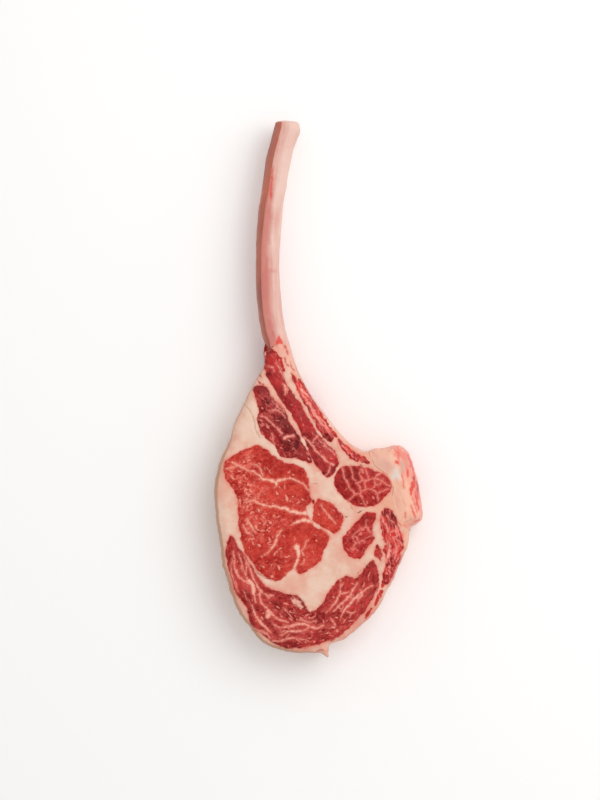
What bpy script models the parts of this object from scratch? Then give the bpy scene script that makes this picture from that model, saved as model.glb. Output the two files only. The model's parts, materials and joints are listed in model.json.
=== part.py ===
"""A raw tomahawk steak: a thick rib steak on the full length of its rib bone.

The steak lies on one cut face, with the other cut face up. X runs across it, Y runs
along the bone towards its sawn tip, and Z is the thickness. Every muscle that shows
at the cut is a column that runs through the steak, in a sleeve of fat. The rib runs
inside the inner curved edge, between the two cut faces, and comes out bare at the neck.
All sizes are in metres; outlines are listed in millimetres.
"""
import math

import bpy
import numpy as np
from mathutils import Vector
from mathutils.geometry import delaunay_2d_cdt

MM = 0.001

# Driving sizes of the steak.
THICKNESS = 0.0452          # between the cut faces, at the eye
NECK_FRONT = 0.0400         # height of the upper cut face where it closes on the bone
NECK_BACK = 0.0060          # height of the lower cut face there
NECK_TAPER = (-0.024, 0.040)  # the steak thins along Y from the first to the second
EDGE_REACH = 0.009          # the trimmed edges are rounded over this width
EDGE_DROP = 0.009
NECK_EDGE_DROP = 0.0016
NECK_EDGE_Y = (0.006, 0.034)
GAP = 0.0003                # between pieces that touch

# The cut faces.
MUSCLE_RISE = 0.0008        # a muscle swells above the fat
MUSCLE_RISE_WIDTH = 0.006
RIM_REACH = 0.0022          # and rolls over at its rim
RIM_DROP = 0.0012
FAT_RIM_REACH = 0.0016
FAT_RIM_DROP = 0.0006
RIPPLE = 0.0005             # long waves left by the knife
RIPPLE_LENGTH = 0.062

# The rib, a flat oval bone on edge, and the layers of meat in front of and behind it.
RIB_MIDDLE = 0.0230
RIB_HALF_DEPTH = 0.0140
RIB_WAIST = 0.0012          # the bare shaft is slimmer halfway along
RIB_WAIST_Y = (0.045, 0.215)
RIB_ROUNDING = 0.0080
LAYER_GAP = 0.0004

# The chine bone, whose outer face slopes away from the cut face.
CHINE_FRONT = 0.0458
CHINE_SLOPE_REACH = 0.0155
CHINE_SLOPE_DROP = 0.0240
CHINE_TOP_REACH = 0.0060
CHINE_TOP_DROP = 0.0080
CHINE_BACK_REACH = 0.0050
CHINE_BACK_DROP = 0.0050

SHARPEST_MITRE = 0.3        # keeps the corners of a moved outline short

# Spacing of the points along the outlines and across the faces.
STEP_OUTER = 0.0052
STEP_MUSCLE = 0.0046
STEP_RIB = 0.0070
FACE_SPACING = 0.0105
RIB_SPACING = 0.0200

# Depths in from the edges of the rows of points that round them.
OUTER_RINGS = (0.0009, 0.0032, 0.0085)
CHINE_RINGS = (0.0012, 0.0035, 0.0075)
RIB_RINGS = (0.0010, 0.0032, 0.0075)
MUSCLE_RINGS = (0.0011,)
OUTER_RINGS = (0.0009, 0.0032, 0.0085)
MUSCLE_RINGS = (0.0011,)

# The middle of the box round the outlines below, in millimetres. It becomes the origin.
PLAN_MIDDLE = (0.45, -0.25)

# Outer edge of the fat, clockwise from the foot of the chine bone to its head.
FAT_EDGE = [
    (74, -113), (71.5, -127), (65.5, -141), (58, -157.5), (49.5, -174), (35, -190), (21.5, -201),
    (9, -206.5), (8, -215.5), (2, -212), (-14, -212), (-29, -210), (-42.5, -205), (-56, -190),
    (-65, -177), (-71.5, -159), (-76, -145), (-78.5, -125.5), (-81.5, -106.5), (-83.5, -85.5),
    (-81.5, -66.5), (-77.5, -54.5), (-71, -41.5), (-66, -23), (-58.5, -5.5), (-50.5, 9),
    (-45.5, 18.5), (-45.5, 32), (-42, 40), (-32, 43), (-24.5, 38.5), (-22.5, 32), (-17.5, 17),
    (-10, 1.5), (0.5, -14.5), (13.5, -31), (26.5, -45.5), (41, -52.5),
]
# The chine bone's free edge, from its head to its foot, and the seam that it shares with the fat.
CHINE_EDGE = [
    (42, -51), (57.5, -47), (68, -47), (73.5, -53), (78.5, -66.5), (82, -82.5), (83.5, -106), (74, -112),
]
CHINE_SEAM = [
    (74, -112), (66, -108.5), (62.5, -97), (58.5, -91), (60.5, -79.5), (56, -68.5), (45.5, -61), (42, -51),
]
CHINE_SLOPE_START = 2       # the outer face slopes from this point of the edge on

# The rib's two sides, both from the sawn tip to the end beside the chine bone.
RIB_OUTER_SIDE = [
    (-15, 214), (-14, 207), (-19.5, 194.5), (-25, 172), (-28, 151), (-30, 125.5), (-30.5, 95),
    (-28, 66.5), (-23.5, 41), (-17, 18.5), (-9, 2), (1.5, -13.5), (14, -30.5), (27, -44.5), (39, -50.5),
]
RIB_INNER_SIDE = [
    (-34, 215), (-38.5, 195), (-44, 170.5), (-47.5, 145), (-50, 113), (-49.5, 79), (-45, 52),
    (-41.5, 31), (-34.5, 17), (-21, 1), (-7.5, -20), (9.5, -41.5), (27, -57.5), (36.5, -61),
]

# Muscles that run through the steak.
THROUGH_MUSCLES = {
    "eye_muscle": [
        (-74.5, -59), (-66, -52.5), (-56, -47.5), (-46.5, -45.5), (-38.5, -51.5), (-29, -58.5),
        (-20, -60), (-13, -63), (-8, -71), (-7.5, -81.5), (-5.5, -88.5), (-10, -94.5), (-7.5, -103),
        (-2, -110.5), (6, -114.5), (9, -119), (6, -125.5), (1, -137), (-8, -145), (-15.5, -147.5),
        (-19.5, -142.5), (-26, -148.5), (-34, -153), (-43, -149), (-53, -138), (-60, -126.5),
        (-62.5, -113), (-64, -95), (-67, -81.5), (-74, -73), (-76, -65.5),
    ],
    "cap_muscle": [
        (-70, -117), (-64.5, -125.5), (-57.2, -137), (-49.5, -149), (-40, -159), (-27.5, -163),
        (-17, -165.5), (-10.5, -173), (-7, -179), (2, -173.5), (8.5, -162), (15, -154), (24, -150),
        (30.5, -151.5), (36, -145), (44, -137.5), (48, -145.5), (46.5, -160), (40.5, -172.5),
        (30, -185), (16, -198), (-3.5, -205), (-24, -207.5), (-40, -200), (-52.5, -189.5),
        (-57, -175), (-66, -163), (-71, -145.5), (-73.5, -128.5),
    ],
    "outer_rib_muscle": [
        (-52, 1), (-42.5, 2.5), (-38, -5), (-30.5, -12.5), (-26, -20.5), (-20, -31), (-13.5, -42),
        (-5.5, -59), (-18, -55.5), (-27.5, -55), (-34, -46), (-42, -38.5), (-48, -29.5), (-47.5, -13.5),
    ],
    "long_rib_muscle": [
        (-40, 29), (-35.5, 27), (-30.5, 18.5), (-26, 4), (-16, -9.5), (-5, -29), (6, -43), (15, -53),
        (15.5, -61.5), (8, -70.5), (1, -65), (-6.5, -51), (-12, -37), (-22, -19.5), (-33.5, -3),
        (-41, 11), (-42, 21.5),
    ],
    "round_muscle": [
        (15, -67), (21.5, -62), (32, -62), (42, -64.5), (52.5, -69), (58, -77.5), (54, -86),
        (44, -93), (33.5, -95), (23, -89), (16, -82.5), (13, -73.5),
    ],
    "wedge_muscle": [
        (0, -88.5), (8, -91), (15, -96.5), (20, -102.5), (19, -109), (12.5, -116), (8, -112.5),
        (1.5, -108.5), (-4.5, -105), (-4, -98.5),
    ],
    "oval_muscle": [
        (37.5, -99.5), (46, -99.5), (44, -109), (44, -121), (38.5, -128.5), (34, -135.5),
        (26, -135), (20.5, -127), (20.5, -119), (27.5, -110.5),
    ],
    "side_muscle": [
        (53, -95.5), (59.5, -98), (63.5, -109.5), (68, -121), (66, -133.5), (60, -149.5),
        (54, -156), (51.5, -151), (55, -137), (53.5, -121.5), (49.5, -107.5),
    ],
    "bead_muscle": [(47.5, -124.5), (51, -131), (50, -137.5), (46, -133.5)],
}
# Strips of meat that lie on the rib, one on each of its sides that face a cut.
RIB_STRIPS = {
    "long_strip": [
        (-21.5, 12.5), (-16.8, 7), (-10.8, -1.2), (-2.8, -13.8), (6.2, -28), (12.5, -38.4), (10.5, -42.5),
        (4.5, -39), (-4.5, -23), (-14, -6), (-18, 3.5),
    ],
    "short_strip": [(16, -40), (22.8, -45.2), (33.5, -54.3), (31.5, -58), (23, -52.5), (17.5, -46)],
}
MUSCLES_OVER_THE_RIB = ("long_rib_muscle",)

COLOURS = {
    "fat": (0.80, 0.56, 0.44),
    "bone": (0.78, 0.55, 0.42),
    "eye_muscle": (0.50, 0.040, 0.030),
    "muscle": (0.30, 0.020, 0.020),
}


# Plan curves.

def smooth_curve(points_mm, step, closed):
    """A centripetal spline through the points, sampled about every step."""
    points = (np.array(points_mm, float) - PLAN_MIDDLE) * MM
    count = len(points)
    spans = count if closed else count - 1
    samples = []
    for i in range(spans):
        start = points[i]
        end = points[(i + 1) % count]
        before = points[i - 1] if closed or i else 2 * start - end
        after = points[(i + 2) % count] if closed or i + 2 < count else 2 * end - start
        knot_0 = math.sqrt(np.linalg.norm(start - before))
        knot_1 = math.sqrt(np.linalg.norm(end - start))
        knot_2 = math.sqrt(np.linalg.norm(after - end))
        leave = (start - before) / knot_0 - (end - before) / (knot_0 + knot_1) + (end - start) / knot_1
        arrive = (end - start) / knot_1 - (after - start) / (knot_1 + knot_2) + (after - end) / knot_2
        pieces = max(1, round(np.linalg.norm(end - start) / step))
        for t in np.arange(pieces) / pieces:
            samples.append((2 * t ** 3 - 3 * t ** 2 + 1) * start + (-2 * t ** 3 + 3 * t ** 2) * end
                           + (t ** 3 - 2 * t ** 2 + t) * leave * knot_1 + (t ** 3 - t ** 2) * arrive * knot_1)
    if not closed:
        samples.append(points[-1])
    return np.array(samples)


def signed_area(outline):
    x, y = outline.T
    return 0.5 * np.sum(x * np.roll(y, -1) - np.roll(x, -1) * y)


def moved_out(line, distance, closed):
    """The line moved evenly to its right-hand side, or outwards if it is closed."""
    ahead = np.roll(line, -1, axis=0) - line
    ahead /= np.linalg.norm(ahead, axis=1)[:, None]
    if not closed:
        ahead[-1] = ahead[-2]
    behind = np.roll(ahead, 1, axis=0)
    if not closed:
        behind[0] = ahead[0]
    corner = ahead + behind
    mitre = np.column_stack([corner[:, 1], -corner[:, 0]])
    mitre /= np.maximum(1 + (ahead * behind).sum(1), SHARPEST_MITRE)[:, None]
    side = -1 if closed and signed_area(line) < 0 else 1
    return line + side * distance * mitre


def distance_to(points, line, closed):
    """The distance of each point to the nearest stretch of the line."""
    start = line if closed else line[:-1]
    span = (np.roll(line, -1, axis=0) if closed else line[1:]) - start
    offset = points[:, None, :] - start[None]
    t = np.clip((offset * span).sum(2) / (span ** 2).sum(1), 0, 1)
    return np.linalg.norm(offset - t[..., None] * span, axis=2).min(1)


def is_inside(points, outline):
    x, y = points[:, 0, None], points[:, 1, None]
    x0, y0 = outline.T
    x1, y1 = np.roll(outline, -1, axis=0).T
    crosses = (y0 > y) != (y1 > y)
    rise = np.where(y1 == y0, 1, y1 - y0)
    return (crosses & (x < x0 + (y - y0) * (x1 - x0) / rise)).sum(1) % 2 == 1


# Heights of the cut faces.

def ease(value, first, last):
    t = np.clip((value - first) / (last - first), 0, 1)
    return t * t * (3 - 2 * t)


def rounded(depth, reach, drop):
    """How far a quarter-oval edge lies below its face, at a depth in from the edge."""
    t = 1 - np.clip(depth / reach, 0, 1)
    return drop * (1 - np.sqrt(1 - t * t))


def edge_round(points):
    drop = EDGE_DROP + (NECK_EDGE_DROP - EDGE_DROP) * ease(points[:, 1], *NECK_EDGE_Y)
    return rounded(distance_to(points, fat_edge, False), EDGE_REACH, 1) * drop


def front_face(points):
    x, y = points.T / RIPPLE_LENGTH * 2 * math.pi
    ripple = RIPPLE * (np.sin(x + 0.6 * y + 1) * 0.6 + np.sin(0.7 * x - 1.3 * y) * 0.4)
    taper = (NECK_FRONT - THICKNESS) * ease(points[:, 1], *NECK_TAPER)
    return THICKNESS + taper + ripple - edge_round(points)


def back_face(points):
    return NECK_BACK * ease(points[:, 1], *NECK_TAPER) + edge_round(points)


def chine_front(points):
    slope = rounded(distance_to(points, chine_slope, False), CHINE_SLOPE_REACH, CHINE_SLOPE_DROP)
    head = rounded(distance_to(points, chine_head, False), CHINE_TOP_REACH, CHINE_TOP_DROP)
    return CHINE_FRONT - np.maximum(slope, head)


def chine_back(points):
    return rounded(distance_to(points, chine_edge, False), CHINE_BACK_REACH, CHINE_BACK_DROP)


def rib_depth(points):
    side = np.minimum(distance_to(points, rib_outer, False), distance_to(points, rib_inner, False))
    along = np.interp(points[:, 1], RIB_WAIST_Y, (0, 1))
    waist = RIB_WAIST * np.sin(math.pi * along)
    return RIB_HALF_DEPTH - waist - rounded(side, RIB_ROUNDING, RIB_ROUNDING)


# Solids.

def fill(outline, holes, rings, spacing):
    """Points over the outline without its holes, and the triangles between them.

    The outline's and the holes' points come first, in order. Rings of points run
    inside the edges at each depth, and the rest of the face has a staggered grid.
    All points are rounded to the 32 bits that a Vector holds.
    """
    outline = outline.astype(np.float32).astype(float)
    holes = [hole.astype(np.float32).astype(float) for hole in holes]
    loops = [outline] + holes
    chosen = [np.vstack(loops)]
    edges = []
    first = 0
    for loop in loops:
        count = len(loop)
        edges += [(first + i, first + (i + 1) % count) for i in range(count)]
        first += count

    def add(points, depth, apart):
        keep = is_inside(points, outline)
        for hole in holes:
            keep &= ~is_inside(points, hole)
        points = points[keep]
        if len(points):
            nearest = np.min([distance_to(points, loop, True) for loop in loops], axis=0)
            points = points[nearest > depth]
        taken = np.vstack(chosen[1:]) if len(chosen) > 1 else np.empty((0, 2))
        for point in points:
            if not len(taken) or np.linalg.norm(taken - point, axis=1).min() > apart:
                taken = np.vstack([taken, point])
                chosen.append(point[None])

    for depth in rings:
        for number, loop in enumerate(loops):
            add(moved_out(loop, -depth if number == 0 else depth, True), 0.8 * depth, 0.55 * depth)
    low, high = outline.min(0), outline.max(0)
    row_height = spacing * math.sqrt(3) / 2
    for row in range(int((high[1] - low[1]) / row_height) + 1):
        xs = np.arange(low[0] + (row % 2) * spacing / 2, high[0], spacing)
        add(np.column_stack([xs, np.full(len(xs), low[1] + row * row_height)]), 0.45 * spacing, 0.45 * spacing)
    points = np.vstack(chosen).astype(np.float32).astype(float)
    result = delaunay_2d_cdt([Vector(point) for point in points], edges, [], 0, 1e-9, False)
    triangles = np.array(result[2])
    middles = points[triangles].mean(1)
    keep = is_inside(middles, outline)
    for hole in holes:
        keep &= ~is_inside(middles, hole)
    return points, triangles[keep]


def column(name, outline, holes, front, back, rings=(), spacing=FACE_SPACING):
    """A closed solid between the back and the front height, over the outline without its holes."""
    if signed_area(outline) < 0:
        outline = outline[::-1]
    holes = [hole if signed_area(hole) > 0 else hole[::-1] for hole in holes]
    points, triangles = fill(outline, holes, rings, spacing)
    count = len(points)
    vertices = np.vstack([np.column_stack([points, front(points)]), np.column_stack([points, back(points)])])
    faces = [tuple(tri) for tri in triangles]
    faces += [(a + count, c + count, b + count) for a, b, c in triangles]
    first = 0
    for number, loop in enumerate([outline] + holes):
        size = len(loop)
        for i in range(size):
            here, after = first + i, first + (i + 1) % size
            wall = (here, here + count, after + count, after)
            faces.append(wall if number == 0 else wall[::-1])
        first += size
    mesh = bpy.data.meshes.new(name)
    mesh.from_pydata(vertices.tolist(), [], [tuple(int(i) for i in face) for face in faces])
    mesh.update()
    thing = bpy.data.objects.new(name, mesh)
    steak.objects.link(thing)
    return thing


def muscle(name, outline, front, back):
    """A column of meat that swells a little above the cut face and rolls over at its rim."""
    def swollen(points):
        depth = distance_to(points, outline, True)
        rise = MUSCLE_RISE * (1 - np.exp(-depth / MUSCLE_RISE_WIDTH))
        return front(points) + rise - rounded(depth, RIM_REACH, RIM_DROP)
    return column(name, outline, [], swollen, back, MUSCLE_RINGS)


def rib(name, grow):
    """The rib between its two sides, grown by an even margin on every face."""
    sides = [moved_out(rib_inner, grow, False), moved_out(rib_outer, -grow, False)]
    along = (sides[0][0] - sides[0][1]) / np.linalg.norm(sides[0][0] - sides[0][1])
    for side in sides:
        side[0] += along * grow
    end = sides[1][-1] - rib_outer[-2]
    end /= np.linalg.norm(end)
    for side in sides:
        side[-1] += end * grow
    outline = np.vstack([sides[0], sides[1][::-1]])

    def front(points):
        return RIB_MIDDLE + rib_depth(points) + grow

    def back(points):
        return RIB_MIDDLE - rib_depth(points) - grow
    return column(name, outline, [], front, back, RIB_RINGS, RIB_SPACING)


def cut_for_rib(thing):
    """Takes the rib's channel out of a piece."""
    cut = thing.modifiers.new("rib channel", "BOOLEAN")
    cut.operation = "DIFFERENCE"
    cut.object = rib_channel


def finish(thing, colour, roughness):
    material = bpy.data.materials.new(thing.name)
    material.use_nodes = True
    shader = material.node_tree.nodes["Principled BSDF"]
    shader.inputs["Base Color"].default_value = (*colour, 1)
    shader.inputs["Roughness"].default_value = roughness
    thing.data.materials.append(material)
    thing.data.shade_smooth()
    thing.data.set_sharp_from_angle(angle=math.radians(40))


for old in list(bpy.data.objects):
    bpy.data.objects.remove(old)

steak = bpy.data.collections.new("tomahawk_steak")
cutters = bpy.data.collections.new("cutters")
bpy.context.scene.collection.children.link(steak)
bpy.context.scene.collection.children.link(cutters)

fat_edge = smooth_curve(FAT_EDGE, STEP_OUTER, False)
chine_edge = smooth_curve(CHINE_EDGE, STEP_MUSCLE, False)
chine_head = smooth_curve(CHINE_EDGE[:CHINE_SLOPE_START + 1], STEP_MUSCLE, False)
chine_slope = smooth_curve(CHINE_EDGE[CHINE_SLOPE_START:], STEP_MUSCLE, False)
chine_seam = smooth_curve(CHINE_SEAM, STEP_MUSCLE, False)
rib_outer = smooth_curve(RIB_OUTER_SIDE, STEP_RIB, False)
rib_inner = smooth_curve(RIB_INNER_SIDE, STEP_RIB, False)

# The cutter is the rib with the gap round it.
rib_channel = rib("rib_channel", GAP)
steak.objects.unlink(rib_channel)
cutters.objects.link(rib_channel)
rib_channel.hide_render = True
rib_channel.display_type = "WIRE"

rib_bone = rib("rib_bone", 0.0)
finish(rib_bone, COLOURS["bone"], 0.45)

chine_bone = column("chine_bone", np.vstack([chine_edge[:-1], chine_seam[:-1]]), [],
                    chine_front, chine_back, CHINE_RINGS)
finish(chine_bone, COLOURS["bone"], 0.5)

holes = []
for name, points in THROUGH_MUSCLES.items():
    outline = smooth_curve(points, STEP_MUSCLE, True)
    holes.append(moved_out(outline, GAP, True))
    piece = muscle(name, outline, front_face, back_face)
    if name in MUSCLES_OVER_THE_RIB:
        cut_for_rib(piece)
    finish(piece, COLOURS.get(name, COLOURS["muscle"]), 0.35)

layer_front = RIB_MIDDLE + RIB_HALF_DEPTH + LAYER_GAP
layer_back = RIB_MIDDLE - RIB_HALF_DEPTH - LAYER_GAP
for name, points in RIB_STRIPS.items():
    outline = smooth_curve(points, STEP_MUSCLE, True)
    holes.append(moved_out(outline, GAP, True))
    front_strip = muscle(name + "_front", outline, front_face, lambda p: np.full(len(p), layer_front))
    back_strip = column(name + "_back", outline, [], lambda p: np.full(len(p), layer_back), back_face)
    finish(front_strip, COLOURS["muscle"], 0.35)
    finish(back_strip, COLOURS["muscle"], 0.35)

# The fat fills what is left inside the outer edge, up to the chine bone.
fat_seam = moved_out(chine_seam, -GAP, False)
fat_outline = np.vstack([fat_edge, fat_seam[::-1]])


def fat_front(points):
    nearest = np.min([distance_to(points, hole, True) for hole in holes], axis=0)
    return front_face(points) - rounded(nearest, FAT_RIM_REACH, FAT_RIM_DROP)


fat = column("fat", fat_outline, holes, fat_front, back_face, OUTER_RINGS)
cut_for_rib(fat)
finish(fat, COLOURS["fat"], 0.4)
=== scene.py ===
# %% [markdown]
# # A raw tomahawk steak
# A tomahawk is a thick slice of beef rib with the whole rib bone left on. This script
# dresses the imported solids of the steak. Every muscle, the fat and the bones get a finer
# mesh with the same outline, and a material whose pattern follows drawn seams.
# Lengths are in metres, but the drawn marks are in millimetres.

# %% Load the frame
import json
import math

import bpy
import bmesh
import numpy as np
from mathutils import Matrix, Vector, noise
from mathutils.geometry import delaunay_2d_cdt
from mathutils.kdtree import KDTree


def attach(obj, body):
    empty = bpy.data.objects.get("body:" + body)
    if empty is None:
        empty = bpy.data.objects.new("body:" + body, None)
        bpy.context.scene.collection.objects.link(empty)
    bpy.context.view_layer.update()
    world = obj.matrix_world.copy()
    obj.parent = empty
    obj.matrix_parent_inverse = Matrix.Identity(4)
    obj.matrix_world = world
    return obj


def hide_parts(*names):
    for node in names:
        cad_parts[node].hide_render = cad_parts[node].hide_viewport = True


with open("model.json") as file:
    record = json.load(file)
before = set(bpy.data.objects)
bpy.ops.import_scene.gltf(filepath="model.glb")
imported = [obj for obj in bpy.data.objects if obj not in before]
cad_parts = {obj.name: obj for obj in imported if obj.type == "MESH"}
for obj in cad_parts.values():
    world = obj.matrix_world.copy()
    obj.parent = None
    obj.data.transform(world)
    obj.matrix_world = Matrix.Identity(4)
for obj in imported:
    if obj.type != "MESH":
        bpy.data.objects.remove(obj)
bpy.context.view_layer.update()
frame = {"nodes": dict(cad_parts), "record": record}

MM = 0.001
SLOT_OF = {row["node"]: row["material_slot"] for row in frame["record"]["subparts"]}
print("solids:", ", ".join(sorted(frame["nodes"])))

# %% [markdown]
# ## Reading outlines from the frame
# Each solid is a column between two cut faces, so the edge between its upright wall and
# the face above it is its outline. The outlines could be drawn again here, but read from
# the solids they have one source, and a change to the solids moves the looks too.

# %% Outlines of a solid
MERGE_DISTANCE = 1e-6  # a solid's triangles are loose until they are merged
WALL_TILT = 0.01  # a wall's normal has no more height than this
FACE_TILT = 0.04  # and a face's normal has more
UPPER_RIM = 0.03  # outlines are read above this height
LOWER_RIM = 0.015  # or, for the bones, above this one


def signed_area(loop):
    x, y = loop.T
    return 0.5 * np.sum(x * np.roll(y, -1) - np.roll(x, -1) * y)


def rims_of(node, lowest=UPPER_RIM):
    """The outlines of a solid seen from above, largest first and counter-clockwise."""
    solid = bmesh.new()
    solid.from_mesh(frame["nodes"][node].data)
    bmesh.ops.remove_doubles(solid, verts=solid.verts, dist=MERGE_DISTANCE)
    links = {}
    for edge in solid.edges:
        if len(edge.link_faces) != 2 or min(v.co.z for v in edge.verts) < lowest:
            continue
        tilts = sorted((face.normal.z for face in edge.link_faces), key=abs)
        if abs(tilts[0]) < WALL_TILT and tilts[1] > FACE_TILT:
            a, b = edge.verts
            links.setdefault(a, []).append(b)
            links.setdefault(b, []).append(a)
    loops = []
    while links:
        loop = [next(iter(links))]
        while True:
            onward = [v for v in links.pop(loop[-1], []) if v in links]
            if not onward:
                break
            loop.append(onward[0])
        if len(loop) > 3:
            loops.append(np.array([v.co[:2] for v in loop]))
    solid.free()
    loops.sort(key=lambda loop: -abs(signed_area(loop)))
    return [loop if signed_area(loop) > 0 else loop[::-1] for loop in loops]


MUSCLES = [
    "eye_muscle", "cap_muscle", "outer_rib_muscle", "long_rib_muscle", "round_muscle", "wedge_muscle",
    "oval_muscle", "side_muscle", "bead_muscle", "long_strip_front", "short_strip_front",
]
plain = {name: rims_of(name)[0] for name in [*MUSCLES, "fat"]}
chine_rim = rims_of("chine_bone", LOWER_RIM)[0]
rib_rim = rims_of("rib_bone", LOWER_RIM)[0]
print(f"{len(plain)} outlines of meat and fat")

# %% [markdown]
# ## Curves in the plan
# The solids are faceted, so their outlines are resampled along a smooth curve. Blender's
# curve objects could do it too, but a formula on arrays of points is shorter here, and
# every later step wants arrays.

# %% Smooth curves
SHORTEST = 1e-4  # keeps points that coincide from dividing by zero


def spline(points, step, closed):
    """A smooth curve through the points (a centripetal Catmull-Rom), sampled about every step."""
    points = np.asarray(points, float)
    count = len(points)
    samples = []
    for i in range(count if closed else count - 1):
        here, after = points[i], points[(i + 1) % count]
        before = points[i - 1] if closed or i else 2 * here - after
        later = points[(i + 2) % count] if closed or i + 2 < count else 2 * after - here
        sides = (here - before, after - here, later - after)
        k0, k1, k2 = (max(math.sqrt(np.linalg.norm(side)), SHORTEST) for side in sides)
        leave = ((here - before) / k0 - (after - before) / (k0 + k1) + (after - here) / k1) * k1
        arrive = ((after - here) / k1 - (later - here) / (k1 + k2) + (later - after) / k2) * k1
        pieces = max(1, round(np.linalg.norm(after - here) / step))
        t = (np.arange(pieces) / pieces)[:, None]
        places = (2 * t ** 3 - 3 * t ** 2 + 1) * here + (3 * t ** 2 - 2 * t ** 3) * after
        samples.append(places + (t ** 3 - 2 * t ** 2 + t) * leave + (t ** 3 - t ** 2) * arrive)
    if not closed:
        samples.append(points[-1:])
    return np.vstack(samples)


def lengths_along(path):
    return np.concatenate([[0], np.cumsum(np.linalg.norm(np.diff(path, axis=0), axis=1))])


def resample(path, count):
    """The same path as a number of points at an even spacing."""
    lengths = lengths_along(path)
    where = np.linspace(0, lengths[-1], count)
    return np.column_stack([np.interp(where, lengths, values) for values in path.T])


def outward(loop):
    """The direction out of a counter-clockwise loop at each of its points."""
    along = np.roll(loop, -1, axis=0) - np.roll(loop, 1, axis=0)
    along /= np.linalg.norm(along, axis=1)[:, None]
    return np.column_stack([along[:, 1], -along[:, 0]])


def blend(first, last, share):
    return first + (last - first) * share


def ease(value, first, last):
    """From 0 at first to 1 at last, slow at both ends."""
    t = np.clip((value - first) / (last - first), 0, 1)
    return t * t * (3 - 2 * t)


# %% Noise, and distance to a line
POINTS_AT_ONCE = 4000  # keeps the table of points against edges small


def noise_at(points, size, seed=0):
    """Smooth noise, mostly between -0.5 and 0.5, whose bumps are about size apart."""
    scaled = np.zeros((len(points), 3))
    scaled[:, :points.shape[1]] = points / size
    scaled[:, 2] += seed
    return np.array([noise.noise(p) for p in scaled.tolist()])


def rough(points, amounts, seed):
    """Noises added up; amounts lists the size and the depth of each."""
    return sum(depth * noise_at(points, size, seed) for size, depth in amounts)


class Nearest:
    """Says how far points are from the nearest of many samples."""

    def __init__(self, points, widths=None):
        self.widths = np.zeros(len(points)) if widths is None else widths
        self.tree = KDTree(len(points))
        for i, (x, y) in enumerate(points[:, :2].tolist()):
            self.tree.insert((x, y, 0), i)
        self.tree.balance()

    def __call__(self, points):
        found = [self.tree.find((x, y, 0))[1:] for x, y in points[:, :2].tolist()]
        index = np.array([i for i, _ in found])
        return np.array([d for _, d in found]) - self.widths[index]


def is_inside(points, loop):
    """Whether a ray from each point crosses the loop an odd number of times."""
    inside = np.zeros(len(points), bool)
    x0, y0 = loop.T
    x1, y1 = np.roll(loop, -1, axis=0).T
    rise = np.where(y1 == y0, 1, y1 - y0)
    for first in range(0, len(points), POINTS_AT_ONCE):
        x, y = points[first:first + POINTS_AT_ONCE].T[:2, :, None]
        crosses = ((y0 > y) != (y1 > y)) & (x < x0 + (y - y0) * (x1 - x0) / rise)
        inside[first:first + POINTS_AT_ONCE] = crosses.sum(1) % 2 == 1
    return inside


# %% [markdown]
# ## The left side of the neck
# Where the meat closes on the bone, the left side of the solids is up to 2.4 mm too far
# out. Small moves bring it in, and fade out to the right so that nothing is torn.

# %% Move the neck in
# Moves to the right, at heights y up the picture, in millimetres
NECK_NUDGE = ((-28, 0), (-18, 1.2), (-10, 1.7), (12, 1.6), (19, 2.3), (29, 2.4), (34, 1.8), (40, 1))
NECK_FADE = 0.008  # the moves fade out over this distance to the right
NECK_LEFT_OF = -0.035  # the neck's left side lies left of this x
NECK_LOW, NECK_HIGH = -0.06, 0.037  # and between these two y

x, y = plain["fat"].T
neck_side = plain["fat"][(x < NECK_LEFT_OF) & (y > NECK_LOW) & (y < NECK_HIGH)]
neck_side = neck_side[np.argsort(neck_side[:, 1])]
for loop in plain.values():
    inward = loop[:, 0] - np.interp(loop[:, 1], neck_side[:, 1], neck_side[:, 0])
    loop[:, 0] += np.interp(loop[:, 1] / MM, *zip(*NECK_NUDGE)) * MM * ease(inward, NECK_FADE, 0)
print(f"the neck's left side has {len(neck_side)} points")

# %% [markdown]
# ## Frayed outlines
# A cut through meat is never a clean curve: connective tissue frays it. Noise of several
# sizes pushes the points to and fro across the line. A displacement modifier could push
# the finished mesh, but here the fat gets the very points of the muscle beside it, so no
# gap opens between the two. A sharp tip and a narrow strip of fat are pushed less, or
# the outline would cross itself or its neighbour.

# %% Pushing an outline about
TIP_SPAN = 0.002  # how far each way the sharpness of a tip is judged
TIP_SHARE = 0.1  # of a push that is left at the sharpest tip
CORNER_SHARE = 0.5  # of a push that is left at a square corner
NEIGHBOUR_SHARE = 0.3  # of the way to the next outline that a push may take
FRAY_SEED = 7.3


def frayed(loop, step, amounts, grow=0, others=None):
    """The outline resampled and pushed about; amounts lists (size, depth) of each noise."""
    loop = spline(loop, step, True)
    push = rough(loop, amounts, FRAY_SEED)
    span = max(1, round(TIP_SPAN / step))
    before, after = np.roll(loop, span, axis=0) - loop, np.roll(loop, -span, axis=0) - loop
    straight = -np.sum(before * after, axis=1)
    straight = straight / np.linalg.norm(before, axis=1) / np.linalg.norm(after, axis=1)
    push *= np.clip(CORNER_SHARE + straight, TIP_SHARE, 1)
    if others is not None:
        room = NEIGHBOUR_SHARE * others(loop)
        push = np.clip(push, -room, room)
    return loop + outward(loop) * (push + grow)[:, None]


# %% Outlines of the steak
OUTLINE_STEP, OUTER_STEP = 0.0005, 0.0007  # between the points of an outline
NEIGHBOUR_STEP = 0.001  # and of a neighbour that it must not cross
FRAY = ((0.007, 0.0013), (0.0028, 0.0008), (0.0012, 0.0003))
OUTER_FRAY = ((0.012, 0.0008), (0.0035, 0.0005))
MUSCLE_GROW = 0.00015  # a muscle stands into the fat by this much
CHINE_OVERLAP = 0.0003  # and the chine bone by this much
SEAM_POINT, CORNER_POINT = 0.0005, 0.0025  # the fat's points this far from the chine go

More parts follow.
